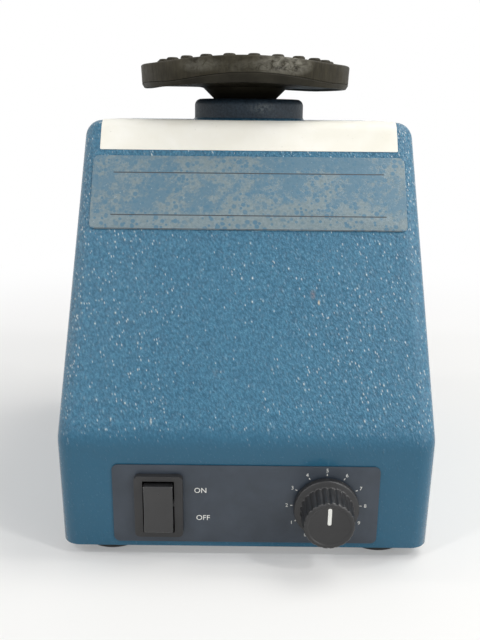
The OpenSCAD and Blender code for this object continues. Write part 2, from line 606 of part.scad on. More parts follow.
module platform() color([0.07, 0.07, 0.07]) at_neck() at_head() difference() {
  rotate_extrude() polygon([
    [0, seat_z], [hub_r, seat_z], [hub_r + 0.4, neck_z], [cone_top_r, under_z + 0.5],
    [cone_top_r + 1, under_z + 0.8], [cover_r - 3.2, under_z + 0.8], [cover_r - 2.6, under_z],
    [cover_r - 1.4, under_z], [cover_r - 0.3, part_z], [cover_r - 2.2, part_z],
    [cover_r - 2.2, deck_top], [0, deck_top]]);
  translate([0, 0, seat_z - 1]) cylinder(r = post_r + run_c, h = post_top - seat_z + 1.5);
}
nub_turn = 6.2;
nub_rings = [[0, 1], [nub_ring / 3.6, 6], [nub_ring * 2 / 3.3, 13], [nub_ring, nub_n]];
module rubber_cover() color([0.14, 0.12, 0.11]) at_neck() at_head() {
  difference() {
    rotate_extrude() polygon([
      [0, part_z], [cover_r - 0.4, part_z], [cover_r, cover_z - 1], [cover_r - 0.2, cover_z - 0.3],
      [cover_r - 0.8, cover_z], [0, cover_z]]);
    translate([0, 0, part_z - 1]) cylinder(r = cover_r - 2.2, h = deck_top - part_z + 1);
  }
  for (q = nub_rings) for (i = [0 : q[1] - 1]) rotate([0, 0, i * 360 / q[1] - nub_turn])
    translate([q[0], 0, cover_z - 0.5]) {
      cylinder(r = nub_r, h = nub_h);
      translate([0, 0, nub_h]) cylinder(r1 = nub_r, r2 = nub_r - 0.5, h = 0.5);
    }
}

// ---- electronics and cord entry
module circuit_board() color([0.1, 0.35, 0.2]) at_neck() difference() {
  translate([0, (board_y0 + board_y1) / 2, board_z]) block(70, board_y1 - board_y0, board_t, 2);
  at_board() translate([0, 0, board_z - 1]) cylinder(r = 1.6, h = board_t + 2);
  at_legs() translate([0, 0, board_z - 1]) cylinder(r = 0.75, h = board_t + 2);
}
module board_posts() color([0.8, 0.75, 0.6]) at_neck() at_board() translate([0, 0, deck_z])
  tube(3, 1.5 + thread_c, board_z - deck_z);
module board_screws() color([0.7, 0.7, 0.72]) at_neck() at_board() {
  translate([0, 0, board_top]) cylinder(r = 2.7, h = 1.8);
  translate([0, 0, board_z - 4]) cylinder(r = 1.5, h = board_t + 5);
}
module terminal_block() color([0.2, 0.5, 0.25]) at_neck() translate([-34, board_y1 - 18, board_top])
  difference() {
    cube([26, 10, 12]);
    for (i = [0 : 3]) translate([4 + 6 * i, 4, 4]) cylinder(r = 2, h = 10);
    for (i = [0 : 3]) translate([4 + 6 * i, 8, 5]) rotate([-90, 0, 0]) cylinder(r = 1.6, h = 4);
  }
module triac() color([0.08, 0.08, 0.08]) at_neck() {
  translate([sink_x - triac_t, triac_y - 5, board_top + 5]) cube([triac_t, 10, 15]);
  at_legs() translate([-leg_w / 2, -leg_w / 2, board_top - 3]) cube([leg_w, leg_w, 9]);
}
module heat_sink() color([0.7, 0.71, 0.73]) at_neck() translate([sink_x, sink_y, board_top]) {
  cube([3, 22, sink_h]);
  for (i = [0 : 4]) translate([2, 5 * i, 0]) cube([10, 2, sink_h]);
}
module film_capacitor() color([0.75, 0.6, 0.15]) at_neck() translate([-16, 24, board_top]) block(20, 9, 15, 1);
module choke_coil() color([0.6, 0.32, 0.12]) at_neck() translate([15.5, board_y1 - 8.5, board_top + 2.8]) rotate_extrude()
  translate([5, 0]) circle(r = 2.8);
module switch_leads() color([0.5, 0.1, 0.08]) at_neck() for (i = [0 : 2])
  lead([[-24 + 6 * i, board_y0 + 9, board_top], [-24 + 6 * i, board_y0 + 9, board_top + 9],
    [-24 + 6 * i, -30, board_top + 9],
    [switch_x + 4 * (i - 1), panel_y + 27, panel_z + 6 * (i - 1)],
    [switch_x, panel_y + 24.8 - 0.5 * i, panel_z + 6 * (i - 1) - 2]], 0.9);
module dial_leads() color([0.5, 0.45, 0.1]) at_neck() for (i = [0 : 2])
  lead([[0 + 6 * i, board_y0 + 6, board_top], [0 + 6 * i, board_y0 + 6, board_top + 9],
    [0 + 6 * i, -30, board_top + 9],
    [dial_x + 3.5 * (i - 1), panel_y + 22, panel_z + 2],
    [dial_x + 3.5 * (i - 1), panel_y + wall + 8.9, panel_z + 1]], 0.9);
module motor_leads() color([0.1, 0.1, 0.35]) at_neck() for (x = [-4, 4])
  lead([[x, 40, board_top], [x, 40, stator_z0 - 5], [x, rotor_r + 10, stator_z0 - 5]], 1);
module cord_gland() color([0.05, 0.05, 0.05]) at_neck() translate([gland_x, back_y, gland_z])
  rotate([-90, 0, 0]) difference() {
    union() {
      translate([0, 0, -wall - 5]) cylinder(r = 9, h = 5);
      translate([0, 0, -wall - 1]) cylinder(r = 7.5, h = wall + 2);
      translate([0, 0, -skin]) cylinder(r = 9.5, h = 2);
      translate([0, 0, 1]) cylinder(r1 = 6.5, r2 = 5.2, h = gland_out - 1);
    }
    translate([0, 0, -wall - 6]) cylinder(r = cord_r, h = wall + gland_out + 7);
  }

housing();
base_plate();
rubber_feet();
foot_screws();
caution_label();
nameplate();
control_plate();
switch_body();
switch_terminals();
switch_rocker();
dial_pot();
pot_nut();
pot_shaft();
speed_knob();
knob_pointer();
knob_screw();
guide_posts();
press_springs();
post_washers();
post_nuts();
touch_bracket();
bracket_screws();
touch_switch();
touch_screws();
touch_plunger();
upper_bracket();
lower_bracket();
stator_core();
stator_windings();
through_bolts();
through_nuts();
upper_bearing();
lower_bearing();
motor_shaft();
rotor_core();
cooling_fan();
fan_screw();
eccentric_hub();
counterweight();
weight_screws();
hub_screw();
head_bearing();
bearing_clip();
drive_post();
splash_ring();
platform();
rubber_cover();
circuit_board();
board_posts();
board_screws();
terminal_block();
triac();
heat_sink();
film_capacitor();
choke_coil();
switch_leads();
dial_leads();
motor_leads();
cord_gland();
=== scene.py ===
"""Vortex mixer: finishes, castings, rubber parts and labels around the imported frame."""
import math

import bmesh
import bpy
import numpy as np
from mathutils import Euler, Matrix, Vector


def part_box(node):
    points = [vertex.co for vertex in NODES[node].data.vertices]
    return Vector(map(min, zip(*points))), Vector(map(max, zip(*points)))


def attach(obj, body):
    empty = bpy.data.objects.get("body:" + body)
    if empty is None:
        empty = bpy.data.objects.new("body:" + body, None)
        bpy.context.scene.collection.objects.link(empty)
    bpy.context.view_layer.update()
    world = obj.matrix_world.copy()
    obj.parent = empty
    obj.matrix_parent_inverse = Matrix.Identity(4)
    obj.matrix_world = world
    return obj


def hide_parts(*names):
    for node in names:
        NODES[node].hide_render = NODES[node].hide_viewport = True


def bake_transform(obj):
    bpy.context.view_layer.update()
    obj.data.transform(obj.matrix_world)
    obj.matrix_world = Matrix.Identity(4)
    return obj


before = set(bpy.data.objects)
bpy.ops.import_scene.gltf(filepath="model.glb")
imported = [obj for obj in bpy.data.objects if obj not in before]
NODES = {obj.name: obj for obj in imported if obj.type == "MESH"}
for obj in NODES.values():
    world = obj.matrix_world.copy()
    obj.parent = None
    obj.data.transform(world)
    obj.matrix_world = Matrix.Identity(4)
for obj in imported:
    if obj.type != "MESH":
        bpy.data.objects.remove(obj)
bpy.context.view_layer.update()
MM = 0.001


def centre(node):
    """Middle of a CAD node's box, in metres."""
    low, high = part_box(node)
    return (np.array(low) + np.array(high)) / 2


# ---- driving sizes, in metres, as in the part's source
NECK_Y = centre("upper_bearing")[1]
SKIRT_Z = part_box("housing")[0][2]
NECK_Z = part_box("housing")[1][2]
COLLAR_H = 8 * MM
TOP_Z = NECK_Z - COLLAR_H
FOLD_Z = 42 * MM
BACK_LEAN = 2 * MM
WALL = 3.5 * MM
EDGE_R = 6.5 * MM
UNDERCUT = math.radians(5)
HALF_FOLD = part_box("housing")[1][0]
HALF_TOP = 58.8 * MM
HALF_LOW = 60 * MM
FOLD_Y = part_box("housing")[0][1] - NECK_Y
BACK_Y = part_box("housing")[1][1] - NECK_Y
SLOPE_RUN = 59.5 * MM
SLOPE_A = math.atan2(SLOPE_RUN, TOP_Z - FOLD_Z)
COLLAR_R = 20.9 * MM
BORE_R = 17.5 * MM
GUIDE_X = 46 * MM
GUIDE_Y = 16 * MM
FOOT_R = 10 * MM
FOOT_IN = FOOT_R + 1.5 * MM

# head
HEAD = centre("rubber_cover")
COVER_R = (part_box("rubber_cover")[1][0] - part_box("rubber_cover")[0][0]) / 2
PART_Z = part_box("rubber_cover")[0][2]
COVER_Z = PART_Z + 6.7 * MM
UNDER_Z = PART_Z - 1.8 * MM
SEAT_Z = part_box("platform")[0][2]
POST_R = 6.05 * MM
NUB_R = 2.35 * MM
NUB_H = 1.9 * MM
NUB_RING = 31.7 * MM
NUB_N = 23
NUB_TURN = 6.2

# labels and controls
LABEL_HALF = 52.5 * MM
LABEL_DROP = 10.1 * MM
LABEL_TOP = 46 * MM
NAME_W = 109 * MM
NAME_H = 28 * MM
NAME_Z = FOLD_Z + 74.2 * MM
PLATE_T = 0.5 * MM
PANEL_Z = 20 * MM
SWITCH_X = -28 * MM
SWITCH_HOLE = (13.2 * MM, 19.2 * MM)
DIAL_X = 26 * MM
DIAL_HOLE_R = 3.6 * MM
DIAL_TURN = 150
DIAL_MARKS = 11
MARK_T = 0.02 * MM
GLAND_X = 30 * MM
GLAND_Z = 25 * MM
GLAND_HOLE_R = 7.5 * MM


def slope_y(z):
    """Where the sloping front lies at height z: straight from the fold to the top edge."""
    return NECK_Y + FOLD_Y + SLOPE_RUN * (z - FOLD_Z) / (TOP_Z - FOLD_Z)


# ---- camera and light
CAM_BACK = 339.6 * MM
CAM_SIDE = -1.8 * MM
CAM_ABOVE_TOP = 2.9 * MM
CAM_PITCH = 13.7
CAM_YAW = 0.14
CAM_ROLL = 0.58
FOCAL_PX = 850
FRAME_H = 640


def in_scene(name, data):
    """New object of that data, in the scene."""
    obj = bpy.data.objects.new(name, data)
    bpy.context.collection.objects.link(obj)
    return obj


def camera():
    """Camera at the eye level of the top face, looking down a little, rolled half a degree."""
    cam = bpy.data.cameras.new("camera")
    cam.sensor_width = 36
    cam.lens = FOCAL_PX / FRAME_H * cam.sensor_width
    cam.clip_start = 0.01
    obj = in_scene("camera", cam)
    turn = Euler((math.radians(90 - CAM_PITCH), 0, math.radians(CAM_YAW)), "XYZ").to_matrix()
    turn = turn @ Matrix.Rotation(math.radians(CAM_ROLL), 3, "Z")
    place = Vector((CAM_SIDE, NECK_Y - CAM_BACK, TOP_Z + CAM_ABOVE_TOP))
    obj.matrix_world = Matrix.Translation(place) @ turn.to_4x4()
    bpy.context.scene.camera = obj


def softbox(name, place, aim, size, power, tint):
    """Area lamp of size (across, up) at place, facing aim."""
    lamp = bpy.data.lights.new(name, "AREA")
    lamp.shape = "RECTANGLE"
    lamp.size, lamp.size_y = size
    lamp.energy = power
    lamp.color = tint
    obj = in_scene(name, lamp)
    obj.location = place
    obj.rotation_euler = (Vector(aim) - Vector(place)).to_track_quat("-Z", "Y").to_euler()


# ---- material tools
def material(name):
    """New node material: (material, node tree, its Principled shader)."""
    mat = bpy.data.materials.new(name)
    mat.use_nodes = True
    tree = mat.node_tree
    return mat, tree, tree.nodes["Principled BSDF"]


def fill(tree, node, **sockets):
    """Gives the node's inputs, named by word or as _number, their values or links."""
    for key, value in sockets.items():
        socket = node.inputs[int(key[1:])] if key[0] == "_" else node.inputs[key.replace("_", " ")]
        if isinstance(value, bpy.types.NodeSocket):
            tree.links.new(value, socket)
        else:
            socket.default_value = value


def add(tree, kind, settings=None, **sockets):
    """New node of that kind: settings are its attributes, sockets its inputs."""
    made = tree.nodes.new("ShaderNode" + kind)
    for key, value in (settings or {}).items():
        setattr(made, key, value)
    fill(tree, made, **sockets)
    return made


def place_of(tree, scale=(1, 1, 1), shift=(0, 0, 0)):
    """Object coordinates through a Mapping node."""
    coord = add(tree, "TexCoord")
    return add(tree, "Mapping", Vector=coord.outputs["Object"], Scale=scale, Location=shift).outputs[0]


def leaning(tree, long, lean):
    """Object coordinates in which a pattern comes out long times taller, leaning by that many degrees."""
    coord = add(tree, "TexCoord")
    return add(tree, "Mapping", {"vector_type": "TEXTURE"}, Vector=coord.outputs["Object"], Scale=(1, long, long),
               Rotation=(0, math.radians(lean), 0)).outputs[0]


def noise(tree, at, scale, detail=3.0, rough=0.5, warp=0.0):
    """Noise texture's value; scale is in waves per metre."""
    return add(tree, "TexNoise", Vector=at, Scale=scale, Detail=detail, Roughness=rough,
               Distortion=warp).outputs[0]


def ramp(tree, value, low, high, out_low=0.0, out_high=1.0):
    """Value carried from low..high to out_low..out_high, held at the ends."""
    return add(tree, "MapRange", {"clamp": True}, Value=value, From_Min=low, From_Max=high, To_Min=out_low,
               To_Max=out_high).outputs[0]


def blend(tree, share, first, second):
    """Colour between first and second by share."""
    first, second = ((*tint, 1) if isinstance(tint, tuple) else tint for tint in (first, second))
    return add(tree, "Mix", {"data_type": "RGBA"}, _0=share, _6=first, _7=second).outputs[2]


def maths(tree, how, value, *others):
    """Math nodes of one kind in a row, each taking the last result and the next value."""
    for other in others or (0.0,):
        value = add(tree, "Math", {"operation": how}, _0=value, _1=other).outputs[0]
    return value


def times(tree, *values):
    """Product of the values."""
    return maths(tree, "MULTIPLY", *values)


def along(tree, at, axis):
    """One coordinate of a place: axis 0, 1 or 2."""
    return add(tree, "SeparateXYZ", Vector=at).outputs[axis]


def drops(tree, at, scale, share, reach, crowd=0.0, flat=False):
    """Round drops of 0 to 1 in a share of the Voronoi cells, and in more of them by crowd: each falls off from its
    cell's point to reach, and is the taller the higher its cell's own random number."""
    kind = {"feature": "F1", "voronoi_dimensions": "2D" if flat else "3D"}
    cells = add(tree, "TexVoronoi", kind, Vector=at, Scale=scale, Randomness=1.0)
    pick = maths(tree, "ADD", add(tree, "SeparateColor", Color=cells.outputs[1]).outputs[0], crowd)
    dome = add(tree, "MapRange", {"interpolation_type": "SMOOTHSTEP"}, Value=cells.outputs[0], From_Min=0.0,
               From_Max=reach, To_Min=1.0, To_Max=0.0).outputs[0]
    return times(tree, dome, ramp(tree, pick, 1 - share, 1 - share * 0.3))


def spot(tree, at, place, size):
    """A soft ellipsoid mask of 1 to 0 about a place, its half axes in millimetres."""
    aside = add(tree, "Mapping", {"vector_type": "TEXTURE"}, Vector=at, Location=place,
                Scale=tuple(part * MM for part in size)).outputs[0]
    far = add(tree, "VectorMath", {"operation": "LENGTH"}, _0=aside).outputs["Value"]
    return ramp(tree, far, 0.2, 1.0, 1.0, 0.0)


def beyond_light(tree):
    """1 where a ray comes from the camera, from gloss or through glass, so that it sees the background."""
    path = add(tree, "LightPath")
    return maths(tree, "MAXIMUM", path.outputs["Is Camera Ray"],
                 maths(tree, "MAXIMUM", path.outputs["Is Glossy Ray"], path.outputs["Is Transmission Ray"]))


def bumped(tree, shader, height, depth, strength=1.0):
    """Bump on the shader from a height of 0 to 1, depth in metres."""
    made = add(tree, "Bump", Height=height, Distance=depth, Strength=strength)
    fill(tree, shader, Normal=made.outputs[0])


def moulded(name, colour, rough, grain=900.0, depth=0.03, lighter=1.5, coat=0.0, gloss=0.5):
    """Moulded plastic or rubber: fine grain, cloudy tone and rubbed patches."""
    mat, tree, shader = material(name)
    at = place_of(tree)
    pale = tuple(min(1.0, part * lighter + 0.004) for part in colour)
    cloud = noise(tree, at, 90, 5, 0.6, 0.3)
    fill(tree, shader, Base_Color=blend(tree, ramp(tree, cloud, 0.35, 0.75), colour, pale),
         Roughness=ramp(tree, noise(tree, at, 200, 4, 0.6), 0.3, 0.7, rough - 0.06, rough + 0.08),
         Specular_IOR_Level=gloss, Coat_Weight=coat, Coat_Roughness=0.15)
    bumped(tree, shader, noise(tree, at, grain, 3, 0.6), depth * MM, 0.6)
    return mat


def metal(name, colour, rough, stretch=(1, 1, 1), scale=1400.0, depth=0.015, spots=0.15):
    """Bare or plated metal: brushing along one axis, and duller spots."""
    mat, tree, shader = material(name)
    brushed = noise(tree, place_of(tree, stretch), scale, 3, 0.6)
    patch = noise(tree, place_of(tree), 160, 4, 0.6)
    dull = tuple(part * 0.6 for part in colour)
    fill(tree, shader, Base_Color=blend(tree, ramp(tree, patch, 0.45, 0.8, 0.0, spots * 2), colour, dull),
         Roughness=ramp(tree, brushed, 0.3, 0.7, rough - 0.07, rough + 0.1), Metallic=1.0)
    bumped(tree, shader, brushed, depth * MM, 0.5)
    return mat


def rubber_top():
    """Worn rubber of the head cover: brown black, finely drawn up and down its rim, dusty on its top, with pale
    scuffs, and a crease at its front that is dented in the bump and darkened as painted shade."""
    mat, tree, shader = material("worn_cover_rubber")
    at = place_of(tree)
    drawn = noise(tree, place_of(tree, (1, 1, 0.12)), 900, 4, 0.65)
    dust = times(tree, ramp(tree, noise(tree, at, 110, 6, 0.65, 0.5), 0.42, 0.72),
                 ramp(tree, along(tree, at, 2), PART_Z + 1 * MM, COVER_Z + 0.5 * MM, 0.25, 0.8))
    colour = blend(tree, dust, (0.018, 0.015, 0.008), (0.050, 0.043, 0.027))
    colour = blend(tree, ramp(tree, drawn, 0.42, 0.72, 0.0, 0.42), colour, (0.066, 0.058, 0.036))
    smear = ramp(tree, noise(tree, place_of(tree, (1, 1, 1.6)), 330, 5, 0.7, 0.8), 0.34, 0.62)
    for across, lift, reach, share in ((13, 5.8, (14.0, 8.0, 4.6), 0.9), (-16, 5.4, (9.0, 10.0, 3.0), 0.4),
                                       (1, 5.0, (16.0, 9.0, 4.0), 0.22)):
        scuff = spot(tree, at, (HEAD[0] + across * MM, HEAD[1] - 36 * MM, PART_Z + lift * MM), reach)
        scuff = maths(tree, "MINIMUM", times(tree, scuff, 1.4, smear), 1.0)
        colour = blend(tree, times(tree, scuff, share), colour, (0.205, 0.195, 0.160))
    # painted shade: the crease at the front is darkened in the colour, and the bump also dents it
    crease = times(tree, spot(tree, at, (HEAD[0] + 14 * MM, HEAD[1] - 37 * MM, PART_Z + 4.2 * MM), (8.5, 8.0, 1.3)),
                   ramp(tree, noise(tree, at, 430, 4, 0.6, 1.0), 0.44, 0.56))
    fill(tree, shader, Base_Color=blend(tree, crease, colour, (0.010, 0.008, 0.006)),
         Roughness=ramp(tree, noise(tree, at, 240, 4, 0.6), 0.3, 0.7, 0.50, 0.68), Specular_IOR_Level=0.18)
    grain = maths(tree, "ADD", times(tree, drawn, 0.6), times(tree, noise(tree, at, 300, 3, 0.5), 0.5))
    bumped(tree, shader, maths(tree, "SUBTRACT", grain, crease), 0.16 * MM, 0.7)
    return mat


def label_vinyl():
    """White vinyl sheet: faintly yellowed in clouds, with fine grey specks, an almost flat gloss."""
    mat, tree, shader = material("white_vinyl_sheet")
    at = place_of(tree)
    cloud = ramp(tree, noise(tree, at, 45, 4, 0.6, 0.3), 0.35, 0.7)
    colour = blend(tree, cloud, (0.87, 0.85, 0.78), (0.80, 0.77, 0.67))
    specks = ramp(tree, noise(tree, at, 900, 2, 0.6), 0.71, 0.76)
    colour = blend(tree, times(tree, specks, 0.35), colour, (0.45, 0.43, 0.36))
    fill(tree, shader, Base_Color=colour, Roughness=ramp(tree, noise(tree, at, 160, 3), 0.3, 0.7, 0.40, 0.55))
    bumped(tree, shader, noise(tree, at, 120, 3, 0.5), 0.10 * MM, 0.35)
    return mat


def worn_foil():
    """Silver grey foil worn to blue: large soft patches, but for a strip along its foot, round blue spots two
    millimetres across, and pale flecks."""
    mat, tree, shader = material("worn_silver_foil")
    at = place_of(tree)
    height = along(tree, at, 2)
    foot = ramp(tree, height, FOLD_Z + 66.0 * MM, FOLD_Z + 68.5 * MM, 0.2, 1.0)
    sheet = add(tree, "CombineXYZ", X=along(tree, at, 0),
                Y=maths(tree, "DIVIDE", height, math.cos(SLOPE_A))).outputs[0]
    broad = noise(tree, place_of(tree, shift=(0.02, 0.1, 0.03)), 40, 3, 0.55)
    torn = noise(tree, at, 280, 8, 0.8, 0.2)
    patch = ramp(tree, maths(tree, "ADD", times(tree, torn, 0.6), times(tree, broad, 0.5)), 0.515, 0.59)
    dots = maths(tree, "MAXIMUM", drops(tree, sheet, 290, 1.0, 0.34, 0.0, True),
                 drops(tree, sheet, 480, 0.8, 0.34, 0.0, True))
    dots = maths(tree, "MINIMUM", times(tree, dots, 2.4), 0.9)
    dots = times(tree, dots, ramp(tree, noise(tree, at, 70, 2, 0.5), 0.34, 0.50, 0.25, 1.0))
    worn = maths(tree, "MAXIMUM", times(tree, patch, 0.75, foot), dots)
    grain = ramp(tree, noise(tree, at, 1100, 3, 0.65), 0.32, 0.68)
    colour = blend(tree, grain, (0.145, 0.200, 0.220), (0.212, 0.268, 0.286))
    colour = blend(tree, worn, colour, (0.060, 0.158, 0.238))
    fleck = ramp(tree, noise(tree, at, 1000, 2, 0.6), 0.68, 0.75, 0.0, 0.5)
    fill(tree, shader, Base_Color=blend(tree, fleck, colour, (0.36, 0.42, 0.43)), Metallic=0.1,
         Roughness=ramp(tree, grain, 0.0, 1.0, 0.38, 0.52))
    bumped(tree, shader, maths(tree, "ADD", times(tree, grain, 0.4), patch), 0.10 * MM, 0.5)
    return mat


def crowding(tree, at, height):
    """How much more thickly the enamel's drops, and with them their painted glints, lie: in soft clouds, more to both
    sides of the slope, most along a line just inside its long edges, where they paint a broken highlight line, and
    less on the side faces."""
    aside = maths(tree, "ABSOLUTE", along(tree, at, 0))
    inward = maths(tree, "SUBTRACT", ramp(tree, height, FOLD_Z, TOP_Z, HALF_FOLD, HALF_TOP), aside)
    off_highlight_line = maths(tree, "ABSOLUTE", maths(tree, "SUBTRACT", inward, 3.1 * MM))
    return maths(tree, "ADD", ramp(tree, noise(tree, at, 34, 3, 0.6), 0.38, 0.64, -0.04, 0.18),
                 ramp(tree, aside, 10 * MM, 52 * MM, -0.05, 0.17),
                 # painted highlight line: drops crowd just inside the long edges, so their pale tips paint a broken
                 # highlight there
                 ramp(tree, off_highlight_line, 0.6 * MM, 1.8 * MM, 0.34, 0.0),
                 ramp(tree, inward, 0.3 * MM, 2.0 * MM, -0.20, 0.0))


def marked(tree, at, colour, stipple):
    """The colour with a reddish scuff, a tan mark and a pale nick on the slope, broken up by the stipple."""
    for across, high, reach, share, tint in ((21.8, 84.6, (1.2, 2.0, 2.4), 0.5, (0.26, 0.15, 0.11)),
                                             (23.7, 82.2, (0.5, 1.2, 1.2), 0.85, (0.62, 0.50, 0.34)),
                                             (-30.5, 47.5, (0.5, 1.2, 1.6), 0.8, (0.58, 0.60, 0.58))):
        mark = spot(tree, at, (across * MM, slope_y(high * MM), high * MM), reach)
        mark = times(tree, mark, ramp(tree, stipple, 0.34, 0.54), share)
        colour = blend(tree, mark, colour, tint)
    return colour


def collar_paint(tree, at):
    """The collar's grit, darkened as painted shadow under the head, with a grey smear at its front."""
    grit = ramp(tree, noise(tree, at, 1300, 3, 0.7), 0.36, 0.66)
    smear = times(tree, spot(tree, at, (4.5 * MM, NECK_Y - COLLAR_R, NECK_Z - 3.2 * MM), (6.0, 5.0, 2.6)),
                  ramp(tree, noise(tree, at, 700, 4, 0.7), 0.42, 0.62), 0.6)
    return blend(tree, smear, blend(tree, grit, (0.006, 0.014, 0.024), (0.024, 0.042, 0.062)), (0.15, 0.175, 0.18))


def enamel():
    """Hammered blue enamel: fine stipple, small beads and sparse larger drops, with painted highlights where they
    stand up and painted slanted glints. It runs smoother below the fold and on the collar, and darker there as
    painted shade, with a few rubbed spots."""
    mat, tree, shader = material("hammered_blue_enamel")
    at = place_of(tree)
    height = along(tree, at, 2)
    low = ramp(tree, height, FOLD_Z - 4 * MM, FOLD_Z + 5 * MM, 1.0, 0.0)
    neck = ramp(tree, height, TOP_Z + 0.3 * MM, TOP_Z + 1.2 * MM)
    coarse = ramp(tree, maths(tree, "MAXIMUM", low, neck), 0.0, 1.0, 1.0, 0.15)
    run, fine, steep = leaning(tree, 1.8, -14), leaning(tree, 1.7, -22), leaning(tree, 2.7, -18)
    crowd = crowding(tree, at, height)
    large = drops(tree, run, 560, 0.16, 0.36, crowd)
    middling = drops(tree, run, 900, 0.42, 0.44, crowd)
    small = drops(tree, fine, 1250, 0.5, 0.46)
    # painted glints: slanted streaks used only to pale the colour, not in the relief
    glint_streaks = drops(tree, steep, 1250, 0.17, 0.42, times(tree, crowd, 0.9))
    stipple = noise(tree, fine, 1500, 3, 0.62)
    colour = blend(tree, ramp(tree, noise(tree, at, 26, 3, 0.55), 0.3, 0.7), (0.013, 0.086, 0.158),
                   (0.022, 0.108, 0.188))
    colour = blend(tree, times(tree, ramp(tree, stipple, 0.36, 0.64), coarse), colour, (0.054, 0.190, 0.296))
    # painted highlight: the raised drops are paled in the colour where they stand up
    bead_highlights = maths(tree, "MAXIMUM", large, times(tree, middling, 0.7), times(tree, small, 0.35))
    colour = blend(tree, times(tree, bead_highlights, coarse, 0.8), colour, (0.17, 0.30, 0.38))
    # painted glints: near white tips on the drops and on the slanted streaks
    painted_glints = maths(tree, "MAXIMUM", ramp(tree, large, 0.66, 0.92), ramp(tree, middling, 0.72, 0.95),
                 ramp(tree, glint_streaks, 0.2, 0.8, 0.0, 0.85))
    colour = blend(tree, times(tree, painted_glints, coarse, 0.7), colour, (0.66, 0.70, 0.70))
    colour = marked(tree, at, colour, stipple)
    rubbed = ramp(tree, noise(tree, at, 60, 6, 0.65, 0.4), 0.69, 0.74, 0.0, 0.2)
    colour = blend(tree, rubbed, colour, (0.20, 0.25, 0.27))
    # painted shade: below the fold the colour is darkened, as that panel faces away from the light above
    colour = blend(tree, times(tree, low, 0.9), colour, (0.022, 0.110, 0.186))
    dull = times(tree, neck, 0.3)
    # painted shadow: above the top face the collar takes a darker colour for the head's shadow, with its grey smear
    fill(tree, shader, Base_Color=blend(tree, neck, colour, collar_paint(tree, at)), Specular_IOR_Level=0.36,
         Roughness=maths(tree, "ADD", ramp(tree, stipple, 0.3, 0.7, 0.17, 0.29), dull))
    swell = noise(tree, at, 420, 3, 0.55)
    relief = maths(tree, "ADD", *(times(tree, part, share) for part, share in (
        (large, 0.44), (middling, 0.24), (small, 0.12), (swell, 0.20), (stipple, 0.36))))
    bumped(tree, shader, times(tree, relief, coarse), 0.75 * MM)
    return mat


def laminated(name, colour):
    """Stack of electrical steel sheets: fine level lines every half millimetre, with a dull oxide."""
    mat, tree, shader = material(name)
    at = place_of(tree)
    pitch = 0.5 * MM
    lines = add(tree, "TexWave", {"wave_type": "BANDS", "bands_direction": "Z"}, Vector=at,
                Scale=1 / (pitch * math.tau), Distortion=0.4, Detail=1.0).outputs[1]
    oxide = ramp(tree, noise(tree, at, 140, 5, 0.6), 0.4, 0.75)
    dark = tuple(part * 0.35 for part in colour)
    fill(tree, shader, Base_Color=blend(tree, times(tree, oxide, 0.7), colour, dark), Metallic=0.85,
         Roughness=ramp(tree, oxide, 0.0, 1.0, 0.38, 0.6))
    bumped(tree, shader, lines, 0.12 * MM, 0.7)
    return mat


def enamelled_wire():
    """Wound copper wire: strands a third of a millimetre apart, amber varnish darker in its clouds."""
    mat, tree, shader = material("varnished_copper_wire")
    strands = add(tree, "TexWave", {"wave_type": "RINGS", "rings_direction": "Z"},
                  Vector=place_of(tree, shift=(0, -NECK_Y, 0)), Scale=480.0, Distortion=0.3, Detail=1.0).outputs[1]
    cloud = ramp(tree, noise(tree, place_of(tree), 120, 4, 0.6), 0.35, 0.7)
    fill(tree, shader, Base_Color=blend(tree, cloud, (0.52, 0.19, 0.06), (0.30, 0.09, 0.03)), Metallic=0.75,
         Coat_Weight=0.5, Roughness=ramp(tree, strands, 0.0, 1.0, 0.3, 0.45))
    bumped(tree, shader, strands, 0.2 * MM, 0.8)
    return mat


def board_laminate():
    """Green solder mask over straight copper tracks, with a fine glass weave under it."""
    mat, tree, shader = material("green_board_laminate")
    at = place_of(tree)
    tracks = add(tree, "TexBrick", {"offset": 0.5}, Vector=at, Color1=(0, 0, 0, 1), Color2=(0.15, 0.15, 0.15, 1),
                 Mortar=(1, 1, 1, 1), Scale=90.0, Mortar_Size=0.04, Brick_Width=0.9, Row_Height=0.35).outputs[0]
    weave = noise(tree, at, 2600, 2, 0.5)
    colour = blend(tree, times(tree, tracks, 0.6), (0.014, 0.115, 0.050), (0.055, 0.25, 0.10))
    colour = blend(tree, ramp(tree, weave, 0.35, 0.7, 0.0, 0.25), colour, (0.05, 0.17, 0.08))
    fill(tree, shader, Base_Color=colour, Roughness=0.32, Coat_Weight=0.3)
    bumped(tree, shader, maths(tree, "ADD", tracks, times(tree, weave, 0.2)), 0.05 * MM, 0.6)
    return mat


def floor_finish():
    """Pale matt floor that keeps the shadow near the object and goes over to plain white away from it, as seen by
    the camera, in gloss and through glass."""
    mat, tree, shader = material("pale_floor")
    at = place_of(tree)
    cloud = ramp(tree, noise(tree, at, 3, 3), 0.3, 0.7)
    fill(tree, shader, Base_Color=blend(tree, cloud, (0.80, 0.79, 0.77), (0.84, 0.83, 0.81)), Roughness=0.7)
    bumped(tree, shader, noise(tree, at, 900, 2), 0.03 * MM, 0.3)
    far = add(tree, "VectorMath", {"operation": "LENGTH"}, _0=at).outputs["Value"]
    fade = add(tree, "MapRange", {"interpolation_type": "SMOOTHSTEP"}, Value=far, From_Min=0.10, From_Max=0.50,
               To_Min=0.25, To_Max=1.0).outputs[0]
    white = add(tree, "Emission", Color=(1, 1, 1, 1), Strength=1.0)
    both = add(tree, "MixShader", _0=times(tree, beyond_light(tree), fade), _1=shader.outputs[0],
               _2=white.outputs[0])
    fill(tree, tree.nodes["Material Output"], Surface=both.outputs[0])
    return mat


